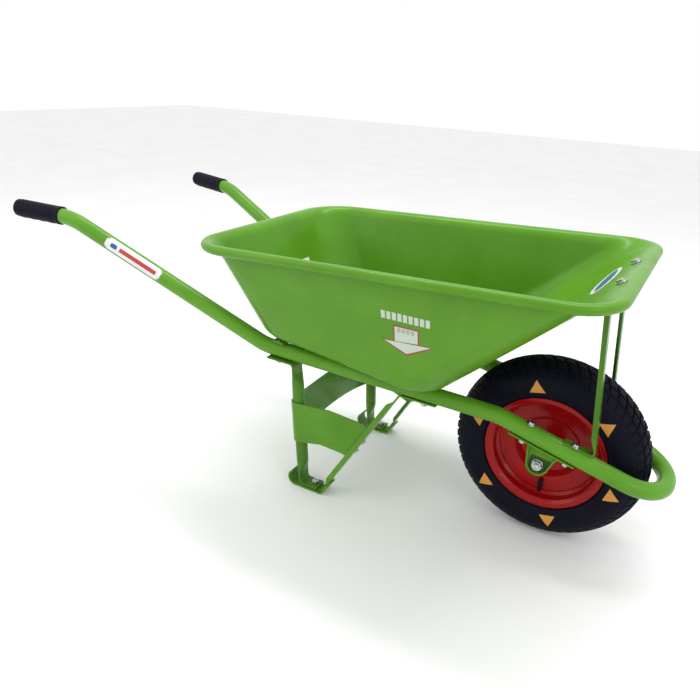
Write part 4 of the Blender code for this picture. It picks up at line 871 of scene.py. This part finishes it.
for word, side in SIDES.items():
    rings = []
    sections = leg_sections()
    for i, (point, wide, thick, power) in enumerate(sections):
        ahead = sections[min(i + 1, len(sections) - 1)][0] - sections[max(i - 1, 0)][0]
        square = Vector((-ahead.y, ahead.x)).normalized()
        y = rail_y(point.x) if point.x < LEG_CROWN.x else leg_axis(point.y).y
        ring = []
        for k in range(32):
            c, s = math.cos(2 * math.pi * k / 32), math.sin(2 * math.pi * k / 32)
            c, s = math.copysign(abs(c) ** power, c), math.copysign(abs(s) ** power, s)
            spot = point + square * (thick * s)
            ring.append(Vector((spot.x, side * (y + wide * c), spot.y)))
        rings.append(ring)
    make_piece("leg_pinched_" + word, *skin(rings), leg_tube_painted_shade, replaces=["leg_" + word],
               slot="leg_paint")
    make_piece("shoe_bent_" + word, *bent_bar(shoe_path, SHOE_THICK, SHOE_HALF, SHOE_Y, side), leg_paint,
               replaces=["shoe_" + word], slot="leg_paint")
    eased("stay_angle_" + word, "leg_stay_" + word, leg_paint, "leg_paint")
    up = Vector((0, 0, 1))
    for place, x, tab in (("rear", REAR_STRAP_X, LEG_TAB), ("front", FRONT_STRAP_X, STAY_THICK)):
        lift, out = TUBE + STRAP_THICK, rail_up(x)
        level = beside_rail(x, lift)
        seat = Vector((level.x, side * rail_y(x), level.y))
        stack = lift + TUBE + tab + 2 * GAP
        head = turned(seat, -out, [(0, 0.0066), (0.0005, 0.0070), (0.0037, 0.0040)])
        zinc_fixing(f"frame_fixing_{place}_{word}", f"frame_bolt_{place}_{word}", head,
                    threaded(seat, -out, 0.003, stack + LONG_TAIL, M8_BOLT),
                    hexed(seat - out * stack, -out, M8_HEX, M8_NUT, True))
    base = Vector((SHOE_BOLT_X, side * SHOE_Y, GAP))
    stack = SHOE_THICK + STAY_THICK + LEG_TAB + 3 * GAP
    zinc_fixing("shoe_fixing_" + word, "shoe_bolt_" + word,
                turned(base, up, [(0, 0.0068), (0.0004, 0.0070), (0.0037, 0.0040)]),
                threaded(base, up, 0.003, stack + SHORT_TAIL, M8_BOLT))
    zinc_fixing("shoe_fixing_nut_" + word, "shoe_nut_" + word,
                hexed(Vector((base.x, base.y, stack)), up, M8_HEX, M8_NUT, True))
    out = Vector((stay_axis().y, 0, -stay_axis().x))
    for place, z in zip(("upper", "lower"), BRACE_BOLTS_Z):
        spot = on_stay(z)
        middle = Vector((spot.x, side * (stay_lane(spot.x) - BRACE_BOLT_INSET), z))
        seat = middle + out * (STAY_THICK / 2 + GAP)
        stack = STAY_THICK + BRACE_SHEET + 3 * GAP
        zinc_fixing(f"brace_fixing_{place}_{word}", f"brace_bolt_{place}_{word}",
                    hexed(seat, out, M6_HEX, M6_HEAD),
                    threaded(seat, -out, 0.0, stack + 0.0080, M6_BOLT, 0.001),
                    hexed(seat - out * stack, -out, M6_HEX, M6_NUT, True))

# ---------------------------------------------------------------------------------------------
# Front posts and axle brackets. Angle-iron posts run from the tubes up to the tray's lip, and
# pressed cups hang under the tubes to hold the axle. Of a cup's two bolts the front one goes
# through the post as well.
POST_THICK, POST_Y, LIP_BOLT_X = 0.0025, 0.0720, 0.0740
BRACKET_SHEET, BRACKET_INNER_Y, BRACKET_NUT = 0.0030, 0.0770, 0.0053
LIP_SLACK = 0.0016
BRACKET_BOLTS_X = {"rear": -0.0270, "front": 0.0530}
POST_GREEN = (0.062, 0.182, 0.007)
BRACKET_GREEN = (0.078, 0.225, 0.008)


def lip_underside(x):
    """Point under the front lip at a station, and the unit vector square to it."""
    to_front = 2 * (CORNER_STEPS + 1) + STRAIGHT_STEPS - 1
    front = to_front + STRAIGHT_STEPS // 2 - 1
    line = [Vector((ring[front].x, ring[front].z)) for ring in outside]
    for a, b in zip(line[:-1], line[1:]):
        if a.x <= x <= b.x:
            ahead = (b - a).normalized()
            return a.lerp(b, (x - a.x) / (b.x - a.x)), Vector((-ahead.y, 0, ahead.x))
    return line[-1], Vector((0, 0, 1))


post_paint = enamel("post_enamel", POST_GREEN)
bracket_paint = enamel("bracket_enamel", BRACKET_GREEN, gloss=0.32)
under_lip, lip_up = lip_underside(LIP_BOLT_X)
for word, side in SIDES.items():
    eased("post_angle_" + word, "front_post_" + word, post_paint, "post_paint", 0.0005)
    eased("bracket_cup_" + word, "axle_bracket_" + word, bracket_paint, "bracket_paint", 0.0005)
    seat = Vector((under_lip.x, side * POST_Y, under_lip.y)) + lip_up * (TRAY_SHEET + 2 * GAP)
    stack = TRAY_SHEET + 4 * GAP + POST_THICK + LIP_SLACK
    zinc_fixing("lip_fixing_" + word, "lip_bolt_" + word,
                hexed(seat + lip_up * WASHER, lip_up, M8_HEX, M8_HEAD),
                flat_washer(seat, lip_up, 0.0092, 0.0041),
                threaded(seat, -lip_up, 0.0, stack + SHORT_TAIL, M8_BOLT))
    zinc_fixing("lip_fixing_nut_" + word, "lip_nut_" + word,
                hexed(seat - lip_up * stack, -lip_up, M8_HEX, M8_NUT, True))
    for place, x in BRACKET_BOLTS_X.items():
        lift = TUBE + GAP + (POST_THICK + GAP if place == "front" else 0)
        level, out = beside_rail(x, lift), rail_up(x)
        seat = Vector((level.x, side * rail_y(x), level.y))
        stack = lift + TUBE + BRACKET_SHEET + 2 * GAP
        zinc_fixing(f"bracket_fixing_{place}_{word}", f"axle_bracket_bolt_{place}_{word}",
                    hexed(seat + out * WASHER, out, M8_HEX, M8_HEAD),
                    flat_washer(seat, out, 0.0090, 0.0041),
                    threaded(seat, -out, 0.0, stack + SHORT_TAIL, M8_BOLT))
        zinc_fixing(f"bracket_fixing_nut_{place}_{word}", f"axle_bracket_nut_{place}_{word}",
                    hexed(seat - out * (stack + WASHER), -out, M8_HEX, BRACKET_NUT, True),
                    flat_washer(seat - out * stack, -out, 0.0090, 0.0043))

# The cup's web: a flat dark sheet inside its turned edge. Its colour is painted shade for the shadow in the
# cup's hollow.
cup_painted_shade = enamel("cup_painted_shade", (0.020, 0.062, 0.003), shade=0.5, gloss=0.4)
for word, side in SIDES.items():
    web_y = side * (BRACKET_INNER_Y + BRACKET_SHEET + 0.0002)
    line = [(-0.0128, 0.0185), (-0.0160, 0.0090), (-0.0165, 0.0)]
    line += [(0.0165 * math.cos(a), 0.0165 * math.sin(a))
             for a in (math.radians(-180 + 15 * k) for k in range(1, 12))]
    line += [(0.0170, -0.0060), (0.0225, 0.0060), (0.0240, 0.0130)]
    verts = [Vector((x, web_y, AXLE.z + z)) for x, z in line]
    size = len(line)
    hub_hole = [Vector((0.0112 * math.cos(a), web_y, AXLE.z + 0.0112 * math.sin(a)))
                for a in (2 * math.pi * k / size - math.pi / 2 * 2.5 for k in range(size))]
    faces = [(k, (k + 1) % size, size + (k + 1) % size, size + k) for k in range(size)]
    make_piece("cup_web_painted_shade_" + word, verts + hub_hole, faces, cup_painted_shade)

# ---------------------------------------------------------------------------------------------
# Axle, hub and bearings. A 12 mm bright axle stays still between the brackets, with a spacer
# and nut each side. The red hub turns on two shielded ball bearings pushed into its ends.
AXLE_RADIUS, HUB_HALF, BEARING_WIDTH = 0.0060, 0.0405, 0.0110
WHEEL_RED = (0.310, 0.0008, 0.0010)


def revolved(profile, turns):
    """Points and faces of a closed (radius, y) outline turned about the axle."""
    rings = []
    for k in range(turns):
        a = 2 * math.pi * k / turns
        rings.append([Vector((r * math.cos(a), y, r * math.sin(a))) for r, y in profile])
    return skin(rings, loop=True)


def spun(name, profile, material, body, node, slot, turns, sharp=30):
    make_piece(name, *revolved(profile, turns), material, body, [node], slot, AXLE, sharp)


def rounded_profile(points, radius=0.0012, steps=4):
    """A closed (radius, y) outline with its corners rounded."""
    flat = [Vector((r, 0, y)) for r, y in points]
    middle = (flat[-1] + flat[0]) / 2
    line = fillet([middle] + flat + [middle], [radius] * len(flat), steps)
    return [(p.x, p.z) for p in line[:-1]]


axle_steel = zinc_plate("axle_steel", (0.60, 0.60, 0.60), 0.28)
bearing_steel = zinc_plate("bearing_steel", (0.50, 0.50, 0.52), 0.22)
wheel_red = enamel("wheel_red", WHEEL_RED, peel=0.08, shade=0.20, gloss=0.24)
centre, along_axle = Vector((0, 0, AXLE.z)), Vector((0, 1, 0))
bar = [turned(centre, along_axle, [(-0.070, AXLE_RADIUS), (0.070, AXLE_RADIUS)], 32)]
bar += [threaded(centre, end, 0.0695, 0.0915, AXLE_RADIUS, 0.00175) for end in (along_axle, -along_axle)]
make_piece("axle_bar", *joined(*bar), axle_steel, replaces=["axle"], slot="axle_steel", sharp=30)
half_hub = [(0.0195, HUB_HALF), (0.0163, HUB_HALF), (0.0163, 0.0290), (0.0125, 0.0290)]
hub_line = rounded_profile(half_hub + [(r, -y) for r, y in half_hub[::-1]], 0.0006)
spun("hub_shell", hub_line, wheel_red, "wheel", "hub", "wheel_paint", 64)
for word, side in SIDES.items():
    inside, shield = HUB_HALF - BEARING_WIDTH, HUB_HALF - 0.0007
    rings = [(0.0160, HUB_HALF), (0.0160, inside), (0.0064, inside), (0.0064, HUB_HALF),
             (0.0086, HUB_HALF), (0.0088, shield), (0.0134, shield), (0.0136, HUB_HALF)]
    spun("bearing_ring_" + word, [(r, side * y) for r, y in rings], bearing_steel, "wheel",
         "bearing_" + word, "bearing_steel", 64)
    start, stop = HUB_HALF + GAP, BRACKET_INNER_Y - GAP
    spacer = rounded_profile([(0.0100, side * start), (0.0100, side * stop), (0.0064, side * stop),
                              (0.0064, side * start)], 0.0005)
    spun("spacer_tube_" + word, spacer, zinc, "barrow", "axle_spacer_" + word, "zinc", 48)
    out = along_axle * side
    seat = centre + out * (BRACKET_INNER_Y + BRACKET_SHEET + GAP)
    zinc_fixing("axle_fixing_nut_" + word, "axle_nut_" + word, flat_washer(seat, out, 0.0105, 0.0061),
                hexed(seat + out * WASHER, out, 0.0102, 0.0062, True))

# ---------------------------------------------------------------------------------------------
# Rim. Two steel pressings welded back to back: a rolled flange each side, a bead seat, the well
# between, and a dished disc that carries the well on the hub. Glossy red enamel.
RIM_SHEET, RIM_HALF_WIDTH, FLANGE_RADIUS = 0.0026, 0.0405, 0.1138
SEAT_RADIUS, WELL_RADIUS = 0.1010, 0.0945
STEM_Y = -0.0152
flange = [(FLANGE_RADIUS, RIM_HALF_WIDTH), (SEAT_RADIUS + 0.004, RIM_HALF_WIDTH),
          (SEAT_RADIUS - RIM_SHEET, RIM_HALF_WIDTH - 0.006), (SEAT_RADIUS - RIM_SHEET, 0.0200),
          (WELL_RADIUS - RIM_SHEET, 0.0140)]
disc_left = [(WELL_RADIUS - RIM_SHEET, -0.0074), (0.0815, -0.0074), (0.0650, -0.0074), (0.0550, 0.0066),
             (0.0200, 0.0066)]
disc_right = [(0.0200, 0.0040), (0.0540, 0.0040), (0.0640, -0.0100), (0.0815, -0.0100),
              (WELL_RADIUS - RIM_SHEET, -0.0100)]
tyre_side = [(FLANGE_RADIUS, -0.0379), (SEAT_RADIUS + 0.005, -0.0379), (SEAT_RADIUS, -0.0330),
             (SEAT_RADIUS, -0.0185), (WELL_RADIUS, -0.0125)]
rim_line = flange + disc_left + disc_right + [(r, -y) for r, y in flange[::-1]]
rim_line += tyre_side + [(r, -y) for r, y in tyre_side[::-1]]
spun("rim_pressing", rounded_profile(rim_line, 0.0030, 5), wheel_red, "wheel", "rim", "wheel_paint",
     128, 40)

# ---------------------------------------------------------------------------------------------
# Tyre. A 3.50-8 pneumatic: plain sidewalls with fine moulding lines and a blocky grip tread
# whose grooves run slantwise over the crown and out on to the shoulders. Near-black rubber.
WHEEL_RADIUS, HALF_WIDTH, WIDEST = 0.1825, 0.0475, 0.1379
TREAD_DEPTH = 0.0026
PITCHES = 56


def rubber(name, colour, rough):
    """Moulded rubber: dark, a little dusty, with a fine grain."""
    material, shader, add, link = nodes_of(name, rough, specular=0.08)
    patch = noise_of(add, 22.0, 5.0)
    pale = tuple(1.45 * c + 0.0015 for c in colour)
    link(mix(add, ramp(add, patch, [(0.35, 0.0), (0.72, 1.0)]), colour, pale),
         shader.inputs["Base Color"])
    link(ramp(add, patch, [(0.3, rough - 0.10), (0.7, rough + 0.12)]),
         shader.inputs["Roughness"])
    grain = noise_of(add, 800.0, 3.0)
    bump = add("ShaderNodeBump", [("Height", grain)], in_Strength=0.2, in_Distance=0.0003)
    link(bump.outputs["Normal"], shader.inputs["Normal"])
    return material


def carcass(degrees, depth=0.0):
    """(radius, y) on the tyre's section; 0 is the widest point and 90 the crown."""
    a = math.radians(degrees)
    rise = WHEEL_RADIUS - WIDEST - depth
    return WIDEST + rise * math.sin(a), (HALF_WIDTH - 0.45 * depth) * math.cos(a)


def on_tyre(turn, degrees, depth, side):
    """A point on the tyre at a turn round the axle."""
    r, y = carcass(degrees, depth)
    return Vector((r * math.cos(turn), side * y, r * math.sin(turn)))


tyre_paint = rubber("tyre_rubber_black", (0.0026, 0.0026, 0.0078), 0.55)
lip_y = RIM_HALF_WIDTH - RIM_SHEET - GAP
half = [(SEAT_RADIUS + 0.0005, 0.0200), (SEAT_RADIUS + 0.0005, lip_y - 0.0055),
        (SEAT_RADIUS + 0.005, lip_y), (FLANGE_RADIUS + 0.0010, lip_y)]
for degrees in range(-28, 91, 4):
    depth = TREAD_DEPTH * min(1.0, max(0.0, (degrees - 30) / 6))
    line = 0.0006 if degrees in (-12, 16) else 0.0
    r, y = carcass(min(degrees, 89.5), depth + line)
    half.append((r, y))
inner = [(0.1727, 0.010), (0.1667, 0.028), (0.1527, 0.0398), (0.1347, 0.0410), (0.1168, 0.0328),
         (0.1080, 0.0246)]
tyre_line = half + [(r, -y) for r, y in half[::-1]] + [(r, -y) for r, y in inner] + inner[::-1]
blocks = [revolved(tyre_line, 160)]
EDGE_SHARES = ((0.0, 1.0), (0.05, 0.12), (0.13, 0.0), (0.38, 0.0), (0.62, 0.0), (0.87, 0.0), (0.95, 0.12),
               (1.0, 1.0))
pitch = 2 * math.pi / PITCHES
# Each block: its start and end round the pitch at its outer and inner edges, and its two edges.
BLOCK_SHAPES = (((0.06, 0.90), (0.30, 1.14), (31, 52)), ((0.36, 1.20), (0.76, 1.60), (54.5, 71)),
                ((0.82, 1.64), (1.14, 1.96), (73.5, 89.0)))
for number in range(PITCHES):
    for side in (-1, 1):
        for outer, crownward, (low, high) in BLOCK_SHAPES:
            rows = []
            for v, drop_v in EDGE_SHARES:
                row = []
                for u, drop_u in EDGE_SHARES:
                    start = outer[0] + (crownward[0] - outer[0]) * v
                    end = outer[1] + (crownward[1] - outer[1]) * v
                    turn = (number + (0.5 if side > 0 else 0.0) + start + (end - start) * u) * pitch
                    depth = (TREAD_DEPTH + 0.0006) * max(drop_u, drop_v)
                    row.append(on_tyre(turn, low + (high - low) * v, depth, side))
                rows.append(row)
            verts = [p for row in rows for p in row]
            faces = [(i * 8 + j, i * 8 + j + 1, i * 8 + j + 9, i * 8 + j + 8)
                     for i in range(7) for j in range(7)]
            outline = [*range(8), *range(15, 64, 8), *range(62, 55, -1), *range(48, 0, -8)]
            faces.append(tuple(outline[::-1]))
            blocks.append((verts, faces))
make_piece("tyre_moulded", *joined(*blocks), tyre_paint, "wheel", ["tyre"], "tyre_rubber", AXLE, 32)

# ---------------------------------------------------------------------------------------------
# Sidewall marks. Six small orange triangles moulded into each sidewall, their points outward.
MARK_LOW, MARK_HIGH, MARK_HALF, MARK_LIFT = 0.1272, 0.1520, 0.0148, 0.00025
FIRST_MARK = 103
mark_orange = printed("mark_orange", (0.560, 0.235, 0.020), 0.5)
for word, side in SIDES.items():
    for number in range(6):
        turn = math.radians(FIRST_MARK + 60 * number)
        ahead = Vector((math.cos(turn), 0, math.sin(turn)))
        across = Vector((-ahead.z, 0, ahead.x))
        rows = []
        for i in range(9):
            share = i / 8
            row = []
            for j in range(9):
                flat = ahead * (MARK_LOW + (MARK_HIGH - MARK_LOW) * share)
                flat += across * (MARK_HALF * (1 - share) * (j / 4 - 1))
                rise = (flat.length - WIDEST) / (WHEEL_RADIUS - WIDEST)
                bulge = HALF_WIDTH * math.sqrt(1 - rise * rise)
                row.append(Vector((flat.x, side * (bulge + MARK_LIFT), flat.z)))
            rows.append(row)
        grid_piece(f"sidewall_mark_{number}_{word}", rows, mark_orange, body="wheel", base=AXLE)

# ---------------------------------------------------------------------------------------------
# Inner tube and valve. A butyl tube fills the tyre. Its rubber stem comes out through the well
# on the right of the wheel and ends in a ribbed dust cap.
tube_rubber = rubber("tube_black", (0.0060, 0.0060, 0.0070), 0.55)
frame["nodes"]["inner_tube"].data.materials.clear()
frame["nodes"]["inner_tube"].data.materials.append(tube_rubber)
stem_base, inwards = Vector((0, STEM_Y, -0.1075)), Vector((0, 0, 1))
stem = [(0, 0.0040), (0.012, 0.0040), (0.0145, 0.0036), (0.0150, 0.0040), (0.0225, 0.0037),
        (0.0260, 0.0033)]
make_piece("valve_stem_moulded", *turned(stem_base, inwards, stem, 32), tube_rubber, "wheel",
           ["valve_stem"], "tube_rubber", AXLE)
cap_rings = []
cap = [(0, 0.0046), (0.0006, 0.0048), (0.0098, 0.0046), (0.0112, 0.0040), (0.0126, 0.0028),
       (0.0130, 0.0022)]
for s, r in cap:
    spot = stem_base + inwards * (0.0260 + GAP + s)
    ring = []
    for k in range(48):
        rib = r * (0.93 if k % 4 in (0, 1) and 0.0003 < s < 0.011 else 1.0)
        ring.append(spot + Vector((math.cos(math.pi * k / 24), math.sin(math.pi * k / 24), 0)) * rib)
    cap_rings.append(ring)
make_piece("valve_cap_ribbed", *skin(cap_rings), tube_rubber, "wheel", ["valve_cap"], "tube_rubber",
           AXLE, 30)

# ---------------------------------------------------------------------------------------------
# Setting. A pale floor, a soft sky all round, one broad lamp above and two fills.
def stage_floor():
    material, shader, add, link = nodes_of("floor_paint", 0.65)
    patch = noise_of(add, 3.0, 4.0)
    tone = ramp(add, patch, [(0.3, (0.86, 0.86, 0.86)), (0.7, (0.90, 0.90, 0.90))])
    link(tone, shader.inputs["Base Color"])
    mesh = bpy.data.meshes.new("floor")
    mesh.from_pydata([(-9, -9, 0), (9, -9, 0), (9, 9, 0), (-9, 9, 0)], [], [(0, 1, 2, 3)])
    mesh.materials.append(material)
    floor = bpy.data.objects.new("floor", mesh)
    bpy.context.scene.collection.objects.link(floor)
    floor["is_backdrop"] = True


def lamp(name, place, target, size, watts, tint=(1, 1, 1)):
    data = bpy.data.lights.new(name, "AREA")
    data.shape = "RECTANGLE"
    data.size, data.size_y = size
    data.energy = watts
    data.color = tint
    obj = bpy.data.objects.new(name, data)
    obj.location = place
    obj.rotation_mode = "QUATERNION"
    obj.rotation_quaternion = (Vector(target) - Vector(place)).to_track_quat("-Z", "Y")
    bpy.context.scene.collection.objects.link(obj)


stage_floor()
world = bpy.data.worlds.new("soft_sky")
world.use_nodes = True
world.node_tree.nodes["Background"].inputs["Color"].default_value = (1.0, 1.0, 1.0, 1.0)
world.node_tree.nodes["Background"].inputs["Strength"].default_value = 1.0
bpy.context.scene.world = world
lamp("roof_light", (0.1, 0.5, 2.4), (0.1, 0.0, 0.3), (2.4, 0.45), 34)
lamp("left_fill", (-1.9, -1.8, 1.7), (0.0, 0.0, 0.3), (1.6, 1.6), 14)
lamp("right_fill", (2.2, -1.2, 1.5), (0.2, 0.0, 0.3), (1.2, 1.2), 10)

CAMERA_PLACE = Vector((0.18904, -1.13099, 0.83195))
CAMERA_RIGHT = Vector((0.86084, 0.50697, 0.04372))
CAMERA_UP = Vector((-0.23759, 0.32444, 0.91556))
camera_data = bpy.data.cameras.new("camera")
camera_data.lens = 33.384
camera_data.sensor_width = 36.0
camera = bpy.data.objects.new("camera", camera_data)
back = CAMERA_RIGHT.cross(CAMERA_UP)
camera.matrix_world = Matrix((CAMERA_RIGHT, CAMERA_UP, back)).transposed().to_4x4()
camera.location = CAMERA_PLACE + Vector((AXLE.x, 0, 0))
bpy.context.scene.collection.objects.link(camera)
bpy.context.scene.camera = camera
bpy.context.scene.view_settings.view_transform = "Standard"

low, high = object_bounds()
